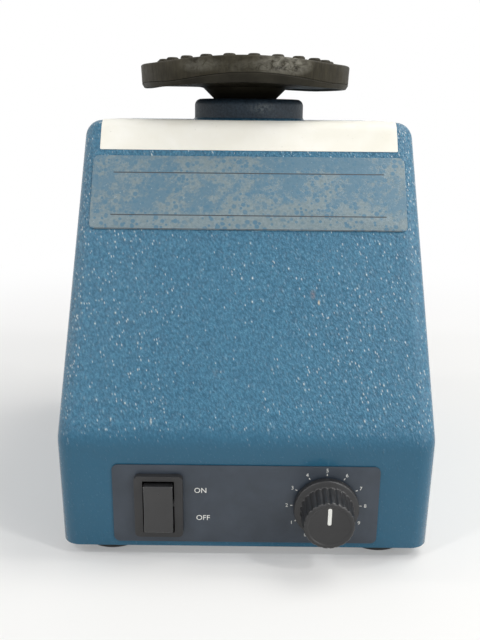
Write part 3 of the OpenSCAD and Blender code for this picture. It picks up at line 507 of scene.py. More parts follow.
# ---- mesh tools
def quads(rows, cols, ring=True):
    """Faces of a grid of rows by cols points, its columns joined in a ring where asked."""
    r = np.arange(rows - 1)[:, None]
    c = np.arange(cols if ring else cols - 1)[None, :]
    n = (c + 1) % cols
    return np.stack([r * cols + c, r * cols + n, (r + 1) * cols + n, (r + 1) * cols + c], -1).reshape(-1, 4)


def finish_mesh(data, sharp=32.0):
    """Merges doubles, drops faces without area, and shades smooth but for edges past the sharp angle."""
    work = bmesh.new()
    work.from_mesh(data)
    bmesh.ops.remove_doubles(work, verts=work.verts, dist=1e-6)
    bmesh.ops.dissolve_degenerate(work, edges=work.edges, dist=1e-6)
    work.to_mesh(data)
    work.free()
    data.polygons.foreach_set("use_smooth", np.ones(len(data.polygons), bool))
    data.set_sharp_from_angle(angle=math.radians(sharp))


def mesh_of(name, patches, mat, sharp=32.0):
    """Object built from (points, faces) patches, whose faces are arrays or lists of corners."""
    points, faces, start = [], [], 0
    for where, face in patches:
        where = np.asarray(where, float).reshape(-1, 3)
        points.append(where)
        faces.extend((face + start).tolist() if isinstance(face, np.ndarray) else
                     [[corner + start for corner in corners] for corners in face])
        start += len(where)
    data = bpy.data.meshes.new(name)
    data.from_pydata(np.concatenate(points).tolist(), [], faces)
    finish_mesh(data, sharp)
    data.materials.append(mat)
    return in_scene(name, data)


def path_round(corners, steps=8, ring=True):
    """(points, normals) of a path through corners (x, y, radius). Each corner is an arc tangent to both of its
    sides: its centre and radius times a normal that turns evenly from the one side's to the other's. Normals point to
    the right of the way the path runs."""
    spots = np.array([c[:2] for c in corners], float)
    points, normals = [], []
    for i, (_, _, radius) in enumerate(corners):
        back = spots[i - 1] - spots[i]
        ahead = spots[(i + 1) % len(spots)] - spots[i]
        back, ahead = back / np.linalg.norm(back), ahead / np.linalg.norm(ahead)
        right = np.array([[-back[1], back[0]], [ahead[1], -ahead[0]]])
        if not ring and i in (0, len(corners) - 1):
            points.append(spots[i][None])
            normals.append(right[1 if i == 0 else 0][None])
            continue
        half = math.acos(float(np.clip(back @ ahead, -1, 1))) / 2
        side = 1.0 if right[0] @ ahead < 0 else -1.0
        middle = spots[i] + (back + ahead) / np.linalg.norm(back + ahead) * radius / math.sin(half)
        wide = math.pi - 2 * half
        t = np.linspace(0, 1, steps + 1)[:, None]
        turn = (np.sin((1 - t) * wide) * right[0] + np.sin(t * wide) * right[1]) / math.sin(wide)
        points.append(middle + side * radius * turn)
        normals.append(turn)
    return np.concatenate(points), np.concatenate(normals)


def quarter(radius, steps):
    """(inset, reach) of a quarter round from its flat face to its wall: radius times one less the sine of the turn,
    and radius times its cosine."""
    t = np.linspace(0, math.pi / 2, steps + 1)
    return radius * (1 - np.sin(t)), radius * np.cos(t)


def prism_x(corners, half, edge, steps, within=0.0):
    """Closed form along X: a path in (y, z) that runs with its outside on the right carries, at each depth under
    its surface, the quarter round of the rim, and each flat end shrinks to its middle. half(z) is its half width,
    and within sets the whole form that far inside the path."""
    flat, normal = path_round(corners, steps)
    t = np.linspace(math.pi / 2, 0, 9)
    depth = np.concatenate([np.full(6, edge), edge * (1 - np.cos(t)), edge * (1 - np.cos(t[::-1])),
                            np.full(6, edge)])
    shrink = np.concatenate([np.linspace(0, 1, 7)[:-1], np.ones(18), np.linspace(1, 0, 7)[1:]])
    under = flat[:, None] - normal[:, None] * (depth + within)[None, :, None]
    mid = flat.mean(0)
    under = mid + (under - mid) * shrink[None, :, None]
    side = np.concatenate([-np.ones(15), np.ones(15)])
    inset = edge - edge * np.sin(np.concatenate([np.full(6, math.pi / 2), t, t[::-1], np.full(6, math.pi / 2)]))
    across = side[None, :] * (half(under[..., 1]) - inset[None, :])
    points = np.concatenate([across[..., None], under], -1)
    points = np.concatenate([points, points[:1]])
    return points, quads(len(points), points.shape[1], False)[:, ::-1]


def lathe(profile, middle=(0, 0, 0), steps=96):
    """Closed (radius, height) profile turned about an upright axis through middle: each radius times the cosine and
    the sine of the turn. It runs up the outside, in over the top, and back down the inside."""
    r, z = np.asarray(profile, float).T
    a = np.arange(steps) * math.tau / steps
    points = np.stack([middle[0] + r[:, None] * np.cos(a), middle[1] + r[:, None] * np.sin(a),
                       np.broadcast_to(middle[2] + z[:, None], (len(r), steps))], -1)
    return points, quads(len(r), steps)


def ring_of(corners, steps=8):
    """Closed profile of (radius, height) with rounded corners, its first point repeated at its end. The corners
    run up the outside, so its outside is on the right."""
    points, _ = path_round(corners, steps)
    return np.concatenate([points, points[:1]])


def slab(w, d, h, corner, edge, steps=6):
    """Block on z = 0: rings of a rounded rectangle, inset by a quarter round at both rims, closed at its middle."""
    x, y = w / 2, d / 2
    flat, normal = path_round([(-x, -y, corner), (x, -y, corner), (x, y, corner), (-x, y, corner)], steps)
    inset, reach = quarter(edge, 4)
    inset = np.concatenate([inset, inset[::-1]])
    level = np.concatenate([edge - reach, h - edge + reach[::-1]])
    rings = flat[None] - normal[None] * inset[:, None, None]
    rings = np.concatenate([rings, np.broadcast_to(level[:, None, None], (*rings.shape[:2], 1))], -1)
    ends = np.broadcast_to(np.array([[[0, 0, 0.0]], [[0, 0, h]]]), (2, rings.shape[1], 3))
    points = np.concatenate([ends[:1], rings, ends[1:]])
    return points, quads(len(points), points.shape[1])


def tube_along(path, radius, sides):
    """Round bar along a path of points: at each, a ring whose points are the radius times cosine and sine along two
    directions square to the path. It is closed at both ends."""
    path = np.asarray(path, float)
    way = np.gradient(path, axis=0)
    way /= np.linalg.norm(way, axis=1)[:, None]
    up = np.array([0, 0, 1.0]) if abs(way[:, 2]).max() < 0.9 else np.array([1.0, 0.13, 0])
    u = np.cross(way, up)
    u /= np.linalg.norm(u, axis=1)[:, None]
    v = np.cross(way, u)
    b = -np.arange(sides) * math.tau / sides
    rings = path[:, None] + radius * (u[:, None] * np.cos(b)[None, :, None] + v[:, None] * np.sin(b)[None, :, None])
    points = np.concatenate([np.broadcast_to(path[:1, None], (1, sides, 3)), rings,
                             np.broadcast_to(path[-1:, None], (1, sides, 3))])
    return points, quads(len(points), sides)[:, ::-1]


def turned_to(patch, origin, across, up, out):
    """A patch drawn in (across, up, out) carried to origin."""
    points, faces = patch
    axes = np.array([across, up, out], float)
    return np.asarray(points, float).reshape(-1, 3) @ axes + np.array(origin, float), faces


def moved(patch, *shift):
    """A patch carried by shift along X, Y and Z."""
    return np.asarray(patch[0], float).reshape(-1, 3) + shift, patch[1]


def pin(radius, low, high, middle=(0, 0, 0), steps=40):
    """Plain upright cylinder from low to high about middle, used as a cutter."""
    return lathe([(0, low), (radius, low), (radius, high), (0, high)], middle, steps)


def on_panel(patch, x=0.0):
    """A patch carried to the lower front panel, x to the side of its middle."""
    place = (x, NECK_Y + FOLD_Y + (FOLD_Z - PANEL_Z) * math.tan(UNDERCUT), PANEL_Z)
    return turned_to(patch, place, (1, 0, 0), (0, -math.sin(UNDERCUT), math.cos(UNDERCUT)),
                     (0, -math.cos(UNDERCUT), -math.sin(UNDERCUT)))


def on_slope(patch, z):
    """A patch carried to the sloping front at height z."""
    return turned_to(patch, (0, slope_y(z), z), (1, 0, 0), (0, math.sin(SLOPE_A), math.cos(SLOPE_A)),
                     (0, -math.cos(SLOPE_A), math.sin(SLOPE_A)))


def from_back(patch, origin):
    """A patch drawn upright, laid down so that it points away from the back face."""
    return turned_to(patch, origin, (1, 0, 0), (0, 0, -1), (0, 1, 0))


def cut(obj, *tools):
    """Takes the tools' patches out of obj's mesh with exact Booleans, then finishes the mesh."""
    for number, patch in enumerate(tools):
        tool = mesh_of(f"{obj.name}_tool_{number}", [patch], obj.data.materials[0])
        step = obj.modifiers.new("cut", "BOOLEAN")
        step.operation = "DIFFERENCE"
        step.solver = "EXACT"
        step.object = tool
        applied(obj)
        bpy.data.objects.remove(tool)
    finish_mesh(obj.data)


def applied(obj):
    """Replaces obj's mesh by what its modifiers make of it."""
    graph = bpy.context.evaluated_depsgraph_get()
    made = bpy.data.meshes.new_from_object(obj.evaluated_get(graph))
    obj.modifiers.clear()
    obj.data = made


def softened(obj, width, past):
    """A fine bevel on obj's edges that turn by more than past degrees."""
    soften = obj.modifiers.new("soften", "BEVEL")
    soften.width = width * MM
    soften.segments = 2
    soften.limit_method = "ANGLE"
    soften.angle_limit = math.radians(past)


def own(obj, slot, body, *nodes):
    """obj takes the place of the CAD nodes and rides on body. The slot is not used."""
    if nodes:
        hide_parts(*nodes)
    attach(obj, body)


# ---- finishes
ENAMEL = enamel()
COVER = rubber_top()
VINYL = label_vinyl()
FOIL = worn_foil()
SHEET = metal("zinc_plated_sheet", (0.52, 0.53, 0.55), 0.38, (1, 9, 1), 500)
RUBBER = moulded("black_foot_rubber", (0.020, 0.020, 0.020), 0.66, 1100, 0.05)
HARD_RUBBER = moulded("black_moulded_rubber", (0.012, 0.012, 0.012), 0.50, 800, 0.04, 2.2)
LIP = moulded("brown_black_rubber", (0.016, 0.014, 0.009), 0.56, 900, 0.04, 1.9, 0.0, 0.15)
BLACK = moulded("black_phenolic", (0.016, 0.016, 0.017), 0.36, 1500, 0.01, 1.4)
GLOSS = moulded("gloss_black_plastic", (0.012, 0.012, 0.013), 0.2, 1800, 0.006, 1.3, 0.4)
PANEL = moulded("grey_blue_panel_skin", (0.030, 0.040, 0.055), 0.42, 2200, 0.012, 1.4)
PRINT = moulded("white_screen_print", (0.80, 0.80, 0.76), 0.55, 2500, 0.004, 1.0)
# dark print, also used for the painted shadow line along the name plate's foot
PRINT_AND_SHADOW_LINE = moulded("dark_print_and_painted_shadow", (0.030, 0.035, 0.042), 0.55, 2500, 0.004, 1.6)
ZINC = metal("bright_zinc", (0.60, 0.61, 0.63), 0.28, (1, 1, 1), 1800)
SPRING = metal("oiled_spring_wire", (0.34, 0.35, 0.37), 0.30, (1, 1, 8), 1200)
CAST = metal("cast_alloy", (0.50, 0.51, 0.52), 0.50, (1, 1, 1), 700, 0.06)
CORE = laminated("stator_laminations", (0.32, 0.33, 0.35))
ROTOR = laminated("rotor_laminations", (0.40, 0.41, 0.42))
COPPER = enamelled_wire()
BEARING = metal("ground_bearing_steel", (0.42, 0.43, 0.44), 0.24, (1, 1, 6), 900, 0.006, 0.05)
IRON = metal("blackened_iron", (0.11, 0.11, 0.12), 0.48, (1, 1, 1), 600, 0.05)
BRASS = metal("tinned_brass", (0.70, 0.55, 0.26), 0.3, (1, 5, 1), 1200)
RED = moulded("red_plastic", (0.42, 0.018, 0.014), 0.34, 1500, 0.01, 1.2)
BOARD = board_laminate()
GREEN = moulded("green_terminal_plastic", (0.03, 0.24, 0.09), 0.4, 1500, 0.01, 1.3)
NYLON = moulded("natural_nylon", (0.66, 0.60, 0.46), 0.45, 1500, 0.01, 1.1)
FILM = moulded("yellow_film_epoxy", (0.62, 0.40, 0.05), 0.28, 1200, 0.01, 1.1, 0.3)
LEAD_RED = moulded("red_lead_sheath", (0.36, 0.02, 0.015), 0.42, 1500, 0.008, 1.2)
LEAD_YELLOW = moulded("yellow_lead_sheath", (0.56, 0.42, 0.03), 0.42, 1500, 0.008, 1.2)
LEAD_BLUE = moulded("blue_lead_sheath", (0.02, 0.08, 0.30), 0.42, 1500, 0.008, 1.2)

# ---- housing
BELOW = 12 * MM
FRONT_LOW = FOLD_Y + (FOLD_Z - SKIRT_Z + BELOW) * math.tan(UNDERCUT)
SHELL_PATH = [(FRONT_LOW, SKIRT_Z - BELOW, EDGE_R), (BACK_Y, SKIRT_Z - BELOW, EDGE_R),
              (BACK_Y, FOLD_Z, 60 * MM), (BACK_Y - BACK_LEAN, TOP_Z, EDGE_R),
              (FOLD_Y + SLOPE_RUN, TOP_Z, EDGE_R), (FOLD_Y, FOLD_Z, 9 * MM)]


def half_width(z):
    """Half of the housing's width: straight from below the skirt to the fold, and straight from there to the top."""
    lowest = HALF_LOW - (HALF_FOLD - HALF_LOW) * 2 * MM / (FOLD_Z - SKIRT_Z)
    return np.interp(z, [SKIRT_Z - 40 * MM, FOLD_Z, TOP_Z], [lowest, HALF_FOLD, HALF_TOP])


def castings():
    """What is cast inside the shell: the collar, the spring bosses, and the foot bosses with their ribs."""
    collar = ring_of([(BORE_R, TOP_Z - WALL, 0.3 * MM), (COLLAR_R - 1 * MM, TOP_Z - WALL, 0.3 * MM),
                      (COLLAR_R - 1 * MM, TOP_Z - 0.6 * MM, 0.2 * MM),
                      (COLLAR_R + 1.5 * MM, TOP_Z - 0.25 * MM, 0.1 * MM), (COLLAR_R, TOP_Z + 0.9 * MM, 1 * MM),
                      (COLLAR_R, NECK_Z, 2.4 * MM), (BORE_R, NECK_Z, 0.7 * MM)])
    low, high, hole = 127.4 * MM, 137.4 * MM, 2.52 * MM
    boss = ring_of([(hole, low, 0.2 * MM), (7 * MM, low, 0.6 * MM), (7 * MM, high, 0.1 * MM),
                    (hole, high, 0.1 * MM)], 3)
    low, high, hole = 7 * MM, 24 * MM, 2.02 * MM
    post = ring_of([(hole, low, 0.2 * MM), (6 * MM, low, 0.6 * MM), (6 * MM, high, 0.8 * MM),
                    (hole, high, 0.2 * MM)], 3)
    foot_x = HALF_LOW - WALL - FOOT_IN
    foot_ys = (FOLD_Y + (FOLD_Z - SKIRT_Z) * math.tan(UNDERCUT) + WALL + FOOT_IN, BACK_Y - WALL - FOOT_IN)
    wall_x = HALF_LOW - 2 * MM
    rib = slab(wall_x - foot_x, 6 * MM, high - low, 0.5 * MM, 0.4 * MM, 2)
    patches = [lathe(collar, (0, NECK_Y, 0), 128)]
    patches += [lathe(boss, (x, NECK_Y + y, 0), 40) for x in (-GUIDE_X, GUIDE_X) for y in (-GUIDE_Y, GUIDE_Y)]
    for side in (-1, 1):
        for y in foot_ys:
            patches.append(lathe(post, (side * foot_x, NECK_Y + y, 0), 40))
            patches.append(moved(rib, side * (foot_x + wall_x) / 2, NECK_Y + y, low))
    return patches


def housing():
    """Deep drawn shell: rounded wedge cut level at its skirt, walled inwards, pierced for the collar's bore, the
    switch, the dial and the gland, with the collar and the bosses in one casting."""
    shell = moved(prism_x(SHELL_PATH, half_width, 6 * MM, 10), 0, NECK_Y, 0)
    obj = mesh_of("housing_shell", [shell], ENAMEL)
    work = bmesh.new()
    work.from_mesh(obj.data)
    every = work.verts[:] + work.edges[:] + work.faces[:]
    bmesh.ops.bisect_plane(work, geom=every, plane_co=(0, 0, SKIRT_Z), plane_no=(0, 0, 1), clear_inner=True)
    bmesh.ops.holes_fill(work, edges=[edge for edge in work.edges if edge.is_boundary], sides=0)
    bmesh.ops.recalc_face_normals(work, faces=work.faces[:])
    work.to_mesh(obj.data)
    work.free()
    inside = prism_x(SHELL_PATH, lambda z: half_width(z) - WALL, 2.5 * MM, 10, WALL)
    reach = 8 * MM
    switch = slab(*SWITCH_HOLE, 2 * reach, 0.6 * MM, 0.01 * MM, 2)
    cut(obj, moved(inside, 0, NECK_Y, 0), pin(BORE_R, -30 * MM, 30 * MM, (0, NECK_Y, TOP_Z), 96),
        on_panel(moved(switch, 0, 0, -reach), SWITCH_X), on_panel(pin(DIAL_HOLE_R, -reach, reach), DIAL_X),
        from_back(pin(GLAND_HOLE_R, -10 * MM, 10 * MM, steps=48), (GLAND_X, NECK_Y + BACK_Y, GLAND_Z)))
    softened(obj, 0.35, 50)
    applied(obj)
    finish_mesh(obj.data)
    joined(obj, mesh_of("castings", castings(), ENAMEL))
    own(obj, "housing_paint", "mixer_body", "housing")


def joined(obj, other):
    """Takes other's mesh into obj."""
    work = bmesh.new()
    work.from_mesh(obj.data)
    work.from_mesh(other.data)
    work.to_mesh(obj.data)
    work.free()
    bpy.data.objects.remove(other)


# ---- labels and plates
def caution_sheet():
    """White sheet wrapped over the top front edge: its half width rounds off at its two ends, and it is cut away
    round the collar."""
    edge = np.array([FOLD_Y + SLOPE_RUN, TOP_Z])
    low = edge - np.array([math.tan(SLOPE_A), 1]) * LABEL_DROP
    end = edge[0] + EDGE_R * math.tan((math.pi / 2 - SLOPE_A) / 2) + LABEL_TOP
    flat, normal = path_round([(*low, 0), (*edge, EDGE_R), (end, TOP_Z, 0)], 16, False)
    run = np.concatenate([[0], np.cumsum(np.linalg.norm(np.diff(flat, axis=0), axis=1))])
    turn = 0.5 * MM
    more = np.unique(np.concatenate([run, np.linspace(0, turn, 8), np.linspace(0, run[-1], 60),
                                     run[-1] - np.linspace(0, turn, 8)]))
    flat = np.stack([np.interp(more, run, flat[:, k]) for k in (0, 1)], 1)
    normal = np.stack([np.interp(more, run, -normal[:, k]) for k in (0, 1)], 1)
    near = np.clip(np.minimum(more, more[-1] - more) / turn, 0, 1)
    half = LABEL_HALF - turn * (1 - np.sqrt(1 - (1 - near) ** 2))
    share = np.linspace(-1, 1, 41)
    level = np.broadcast_to((flat + normal * 0.03 * MM)[:, None], (len(more), len(share), 2))
    points = np.concatenate([(half[:, None] * share)[..., None], level], -1) + (0, NECK_Y, 0)
    obj = mesh_of("caution_sheet", [(points, quads(len(more), len(share), False))], VINYL)
    thick = obj.modifiers.new("thick", "SOLIDIFY")
    thick.thickness = 0.18 * MM
    thick.offset = 1
    applied(obj)
    cut(obj, pin(COLLAR_R + 1 * MM, -10 * MM, 10 * MM, (0, NECK_Y, TOP_Z), 128))
    own(obj, "white_label", "mixer_body", "caution_label")


def printed_bar(wide, high):
    """Thin printed bar with rounded corners, a fiftieth of a millimetre thick."""
    return slab(wide * MM, high * MM, MARK_T, 0.1 * MM, 0.004 * MM, 2)


def name_plate():
    """Foil plate with rounded corners, two thin printed rules across it, and a dark line along its foot that is
    painted shadow.
    """
    thick = 0.45 * MM
    plate = slab(NAME_W, NAME_H, thick, 2 * MM, 0.12 * MM)
    own(mesh_of("name_plate", [on_slope(plate, NAME_Z)], FOIL), "name_metal", "mixer_body", "nameplate")
    # the first two bars are printed rules; the third, along the plate's foot, is a dark line of painted shadow
    rules_and_shadow_line = [on_slope(moved(printed_bar(wide, high), 0, up * MM, thick - MARK_T / 2), NAME_Z)
             for up, wide, high in ((7.4, 94.4, 0.40), (-8.7, 94.8, 0.40), (-13.78, 105.5, 0.22))]
    own(mesh_of("name_plate_lines_and_shadow", rules_and_shadow_line, PRINT_AND_SHADOW_LINE), "name_metal", "mixer_body")


def lettering(words, size, x, y):
    """Patch of flat raised text centred at (x, y) on the lower panel."""
    curve = bpy.data.curves.new("words", "FONT")
    curve.body = words
    curve.size = size * MM
    curve.align_x = "CENTER"
    curve.align_y = "CENTER"
    curve.extrude = 0.015 * MM
    curve.resolution_u = 3
    obj = in_scene("words", curve)
    bpy.context.view_layer.update()
    data = bpy.data.meshes.new_from_object(obj)
    points = np.empty(len(data.vertices) * 3)
    data.vertices.foreach_get("co", points)
    bpy.data.objects.remove(obj)
    faces = [list(face.vertices) for face in data.polygons]
    return on_panel(moved((points, faces), x, y, PLATE_T + curve.extrude))


def panel_plate():
    """Control plate with its two openings, dial ticks and numbers, and ON and OFF by the switch."""
    low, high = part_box("control_plate")
    plate = slab(high[0] - low[0], (high[2] - low[2]) / math.cos(UNDERCUT), PLATE_T, 2 * MM, 0.12 * MM)
    obj = mesh_of("control_plate_skin", [on_panel(plate)], PANEL)
    reach = 2 * MM
    hole = moved(slab(*SWITCH_HOLE, 2 * reach, 0.6 * MM, 0.01 * MM, 2), 0, 0, -reach)
    cut(obj, on_panel(hole, SWITCH_X), on_panel(pin(DIAL_HOLE_R, -reach, reach), DIAL_X))
    own(obj, "control_skin", "mixer_body", "control_plate")
    words = [lettering("ON", 2.6, -14.6 * MM, 5.0 * MM), lettering("OFF", 2.6, -13.8 * MM, -5.0 * MM)]
    ticks = []
    for number, turn in enumerate(np.radians(np.linspace(-DIAL_TURN, DIAL_TURN, DIAL_MARKS))):
        x, y = math.sin(turn), math.cos(turn)
        place = (11.2 * MM * x, 11.2 * MM * y, PLATE_T - MARK_T / 2)
        tick = turned_to(printed_bar(0.28, 0.75), place, (y, -x, 0), (x, y, 0), (0, 0, 1))
        ticks.append(on_panel(tick, DIAL_X))
        words.append(lettering(str(number), 1.8, DIAL_X + 12.7 * MM * x, 12.7 * MM * y))
    own(mesh_of("panel_words", words, PRINT), "print_white", "mixer_body")
    own(mesh_of("panel_ticks", ticks, PRINT), "print_white", "mixer_body")


# ---- controls
def dial_knob():
    """Skirted knob: a lathe form whose wall dips by a sharp cosine in its flutes, bored from below for its shaft."""
    skirt, wall, rim, tall, bore, flutes = 10.5, 8.6, 6.9, 12.0, 3.06, 24
    profile, _ = path_round([(0, 9.0, 0), (bore, 9.0, 0.1), (bore, 3.6, 0.1), (7.0, 3.6, 0.3), (7.0, 0.1, 0.3),
                             (skirt, 0.1, 0.5), (skirt, 2.5, 0.7), (wall, 3.0, 0.5), (wall - 0.5, tall, 0.8),
                             (rim, tall, 0.4), (rim - 0.4, tall - 0.3, 0.4), (0, tall - 0.3, 0)], 5, False)
    a = np.arange(12 * flutes) * math.tau / (12 * flutes)
    r, z = profile.T
    fluted = (np.arange(len(r)) > np.argmax(r)) * (r > 7.4) * np.clip((z - 2.7) / 0.9, 0, 1)
    fluted = fluted * np.clip((tall + 0.1 - z) / 1.2, 0, 1)
    dip = 0.52 * (0.5 + 0.5 * np.cos(flutes * a)) ** 3
    radius = r[:, None] - fluted[:, None] * dip
    points = np.stack([radius * np.cos(a), radius * np.sin(a), np.broadcast_to(z[:, None], radius.shape)], -1) * MM
    knob = moved((points, quads(len(r), len(a))), 0, 0, 1 * MM)
    own(mesh_of("dial_knob", [on_panel(knob, DIAL_X)], BLACK, 40), "black_plastic", "knob", "speed_knob")
    pointer = moved(slab(1.2 * MM, 5.9 * MM, 0.12 * MM, 0.5 * MM, 0.04 * MM, 4), 0, 3.3 * MM, 12.63 * MM)
    own(mesh_of("dial_line", [on_panel(pointer, DIAL_X)], PRINT), "print_white", "knob", "knob_pointer")


def rocker():
    """Rocker key: a rounded prism with a hollowed top, on its axle."""
    shape = [(-8.5, 1.8, 0.5), (-5, -3.4, 0.8), (5, -3.4, 0.8), (8.5, 1.8, 0.5), (8.3, 4.7, 0.6), (0, 3.1, 26),
             (-8.3, 4.7, 0.6)]
    key = prism_x([(y * MM, z * MM, r * MM) for y, z, r in shape], lambda z: np.full_like(z, 4.75 * MM), 0.5 * MM, 6)
    axle = lathe([(0, -6), (1.35, -6), (1.5, -5.85), (1.5, 5.85), (1.35, 6), (0, 6)], steps=32)
    axle = turned_to((axle[0] * MM, axle[1]), (0, 0, 0), (0, 1, 0), (0, 0, 1), (1, 0, 0))
    obj = mesh_of("rocker_key", [on_panel(key, SWITCH_X), on_panel(axle, SWITCH_X)], GLOSS)
    own(obj, "gloss_black", "rocker", "switch_rocker")


def feet():
    """Moulded rubber feet: a bellied side, and a stepped well for the screw."""
    top, hole, well = SKIRT_Z + 1 * MM, 2.26 * MM, 4.6 * MM
    pad = ring_of([(hole, top - 2 * MM, 0.2 * MM), (well, top - 2 * MM, 0.2 * MM), (well, 0, 0.4 * MM),
                   (FOOT_R - 0.9 * MM, 0, 0.9 * MM), (FOOT_R, 1.4 * MM, 1.2 * MM), (FOOT_R - 0.1 * MM, top, 0.5 * MM),
                   (hole, top, 0.1 * MM)], 5)
    low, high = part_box("rubber_feet")
    pads = [lathe(pad, (x, y, 0), 72) for x in (low[0] + FOOT_R, high[0] - FOOT_R)
            for y in (low[1] + FOOT_R, high[1] - FOOT_R)]
    own(mesh_of("foot_pads", pads, RUBBER), "black_rubber", "mixer_body", "rubber_feet")


def gland():
    """Cord bushing: a flange, then a tapering sleeve ribbed by five rounded rings, bored for the cord."""
    low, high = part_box("cord_gland")
    end, bore, flange, inner = (high[1] - low[1]) / MM, 3.4, 9.2, 7.4
    start = end - 12.0
    corners = [(bore, 0, 0.2), (inner, 0, 0.3), (inner, start - 2.0, 0.2), (flange, start - 2.0, 0.4),
               (flange, start, 0.6)]
    for rib in range(5):
        z, wide = start + 0.8 + 2.1 * rib, 6.6 - 0.32 * rib
        corners += [(wide - 1.0, z, 0.3), (wide - 1.0, z + 0.6, 0.3), (wide, z + 0.7, 0.3), (wide - 0.1, z + 1.9, 0.3)]
    corners += [(4.9, end - 0.2, 0.3), (bore, end, 0.3)]
    sleeve = lathe(ring_of(corners, 3) * MM, steps=64)
    origin = ((low[0] + high[0]) / 2, low[1], (low[2] + high[2]) / 2)
    own(mesh_of("cord_bushing", [from_back(sleeve, origin)], HARD_RUBBER), "black_rubber", "mixer_body", "cord_gland")


# ---- head
def rise(x, y, tall, mid, half, power=1.5):
    """How far the worn head is lifted at its front: tall at mid, and off to its sides tall times one less the square
    of the way off over half, raised to power. It eases in from the head's middle to its front."""
    share = np.clip(1 - ((x - mid) / half) ** 2, 0, 1) ** power
    front = np.clip(-y / (20 * MM), 0, 1)
    return tall * share * front * front * (3 - 2 * front)


def head_grid(profile, lift, steps=240):
    """A closed profile turned about the head's axis, each point raised by lift of its radius, height, x and y."""
    r, z = np.asarray(profile, float).T
    a = np.arange(steps) * math.tau / steps
    x, y = r[:, None] * np.cos(a), r[:, None] * np.sin(a)
    points = np.stack([HEAD[0] + x, HEAD[1] + y, z[:, None] + lift(r[:, None], z[:, None], x, y)], -1)
    return points, quads(len(r), steps)


def back_rise(x, y, tall):
    """Lift at the back of the head: tall in its middle, and a bump to the left."""
    return rise(x, -y, tall, 0, 30 * MM) + rise(x, -y, 2.2 * MM, -18 * MM, 23 * MM, 1.0)


def parting(x, y):
    """Lift of the parting edge: most at the front, and a little at the back."""
    return rise(x, y, 2.9 * MM, 2 * MM, 30 * MM) + back_rise(x, y, 1.4 * MM)


def head_cover():
    """Rubber cap over the platform: a rim that flares a little to its top, a hollow underside, and domed nubs."""
    rim, deck = COVER_R, PART_Z + 4.4 * MM
    wall = rim - 2.2 * MM
    flat, _ = path_round([(0, deck, 0), (wall, deck, 0.4 * MM), (wall, PART_Z, 0.2 * MM),
                          (rim - 0.4 * MM, PART_Z, 0.25 * MM), (rim - 0.25 * MM, PART_Z + 3 * MM, 1.0 * MM),
                          (rim - 0.02 * MM, COVER_Z, 0.7 * MM), (0, COVER_Z, 0)], 6, False)
    extra = np.linspace(rim - 4 * MM, 4 * MM, 12)
    flat = np.concatenate([flat[:-1], np.stack([extra, np.full(12, COVER_Z)], 1), flat[-1:]])

    def lift(r, z, x, y):
        """The parting edge by its own lift, the top rim by less, the ring of nubs by less again."""
        outer = np.clip((r - 20 * MM) / (12 * MM), 0, 1) * 0.53 + np.clip((r - 35 * MM) / (4 * MM), 0, 1) * 0.47
        high = rise(x, y, 1.9 * MM, 0, 34 * MM) * outer
        share = np.clip((z - PART_Z) / (COVER_Z - PART_Z), 0, 1)
        return np.where(z > deck - 0.1 * MM, high * share, parting(x, y) * (1 - share) + high * share)

    patches = [head_grid(flat, lift)]
    nub, _ = path_round([(NUB_R + 0.5 * MM, -0.3 * MM, 0), (NUB_R + 0.4 * MM, 0.0, 0.2 * MM),
                         (NUB_R, 0.5 * MM, 0.4 * MM), (NUB_R - 0.1 * MM, NUB_H, 0.95 * MM), (0, NUB_H, 0)], 5, False)
    for ring, count in ((0, 1), (NUB_RING / 3.6, 6), (NUB_RING * 2 / 3.3, 13), (NUB_RING, NUB_N)):
        for turn in np.radians(np.arange(count) * 360 / count - NUB_TURN):
            x, y = ring * math.cos(turn), ring * math.sin(turn)
            up = rise(x, y, 1.0 * MM, 0, 34 * MM) * np.clip((ring - 20 * MM) / (8 * MM), 0, 1)
            patches.append(lathe(nub, (HEAD[0] + x, HEAD[1] + y, COVER_Z + up), 28))
    own(mesh_of("head_cover", patches, COVER, 36), "cover_rubber", "platform_head", "rubber_cover")


def head_platform():
    """Platform under the cap: a flared hub, a thin underside, and a rolled lip flush with the cap, drawn up to meet
    its lifted parting edge."""
    rim, under, seat = COVER_R, UNDER_Z + 0.8 * MM, PART_Z + 4.35 * MM
    flat = ring_of([(POST_R, SEAT_Z, 0.2 * MM), (11.4 * MM, SEAT_Z, 0.4 * MM), (11.9 * MM, NECK_Z, 0.6 * MM),
                    (16.2 * MM, under - 0.4 * MM, 1.2 * MM), (18.5 * MM, under, 1.2 * MM),
                    (rim - 3.4 * MM, under, 0.4 * MM), (rim - 2.8 * MM, UNDER_Z, 0.4 * MM),
                    (rim - 1.25 * MM, UNDER_Z, 0.5 * MM), (rim - 0.22 * MM, PART_Z - 0.12 * MM, 0.25 * MM),
                    (rim - 0.9 * MM, PART_Z - 0.02 * MM, 0.1 * MM), (rim - 2.25 * MM, PART_Z, 0.1 * MM),
                    (rim - 2.25 * MM, seat, 0.3 * MM), (POST_R, seat, 0.2 * MM)], 6)

    def lift(r, z, x, y):
        """The lip's foot lifts a little, and its head follows the cap's parting edge."""
        outer = np.clip((r - 31 * MM) / (5 * MM), 0, 1) * np.clip((PART_Z + 4 * MM - z) / (1 * MM), 0, 1)
        foot = rise(x, y, 1.3 * MM, 0, 32 * MM) + back_rise(x, y, 1.3 * MM)
        share = np.clip((z - UNDER_Z - 0.2 * MM) / (PART_Z - UNDER_Z - 0.4 * MM), 0, 1)
        return (foot * (1 - share) + parting(x, y) * share) * outer

    obj = mesh_of("head_platform", [head_grid(flat, lift)], LIP, 36)
    own(obj, "black_rubber", "platform_head", "platform")


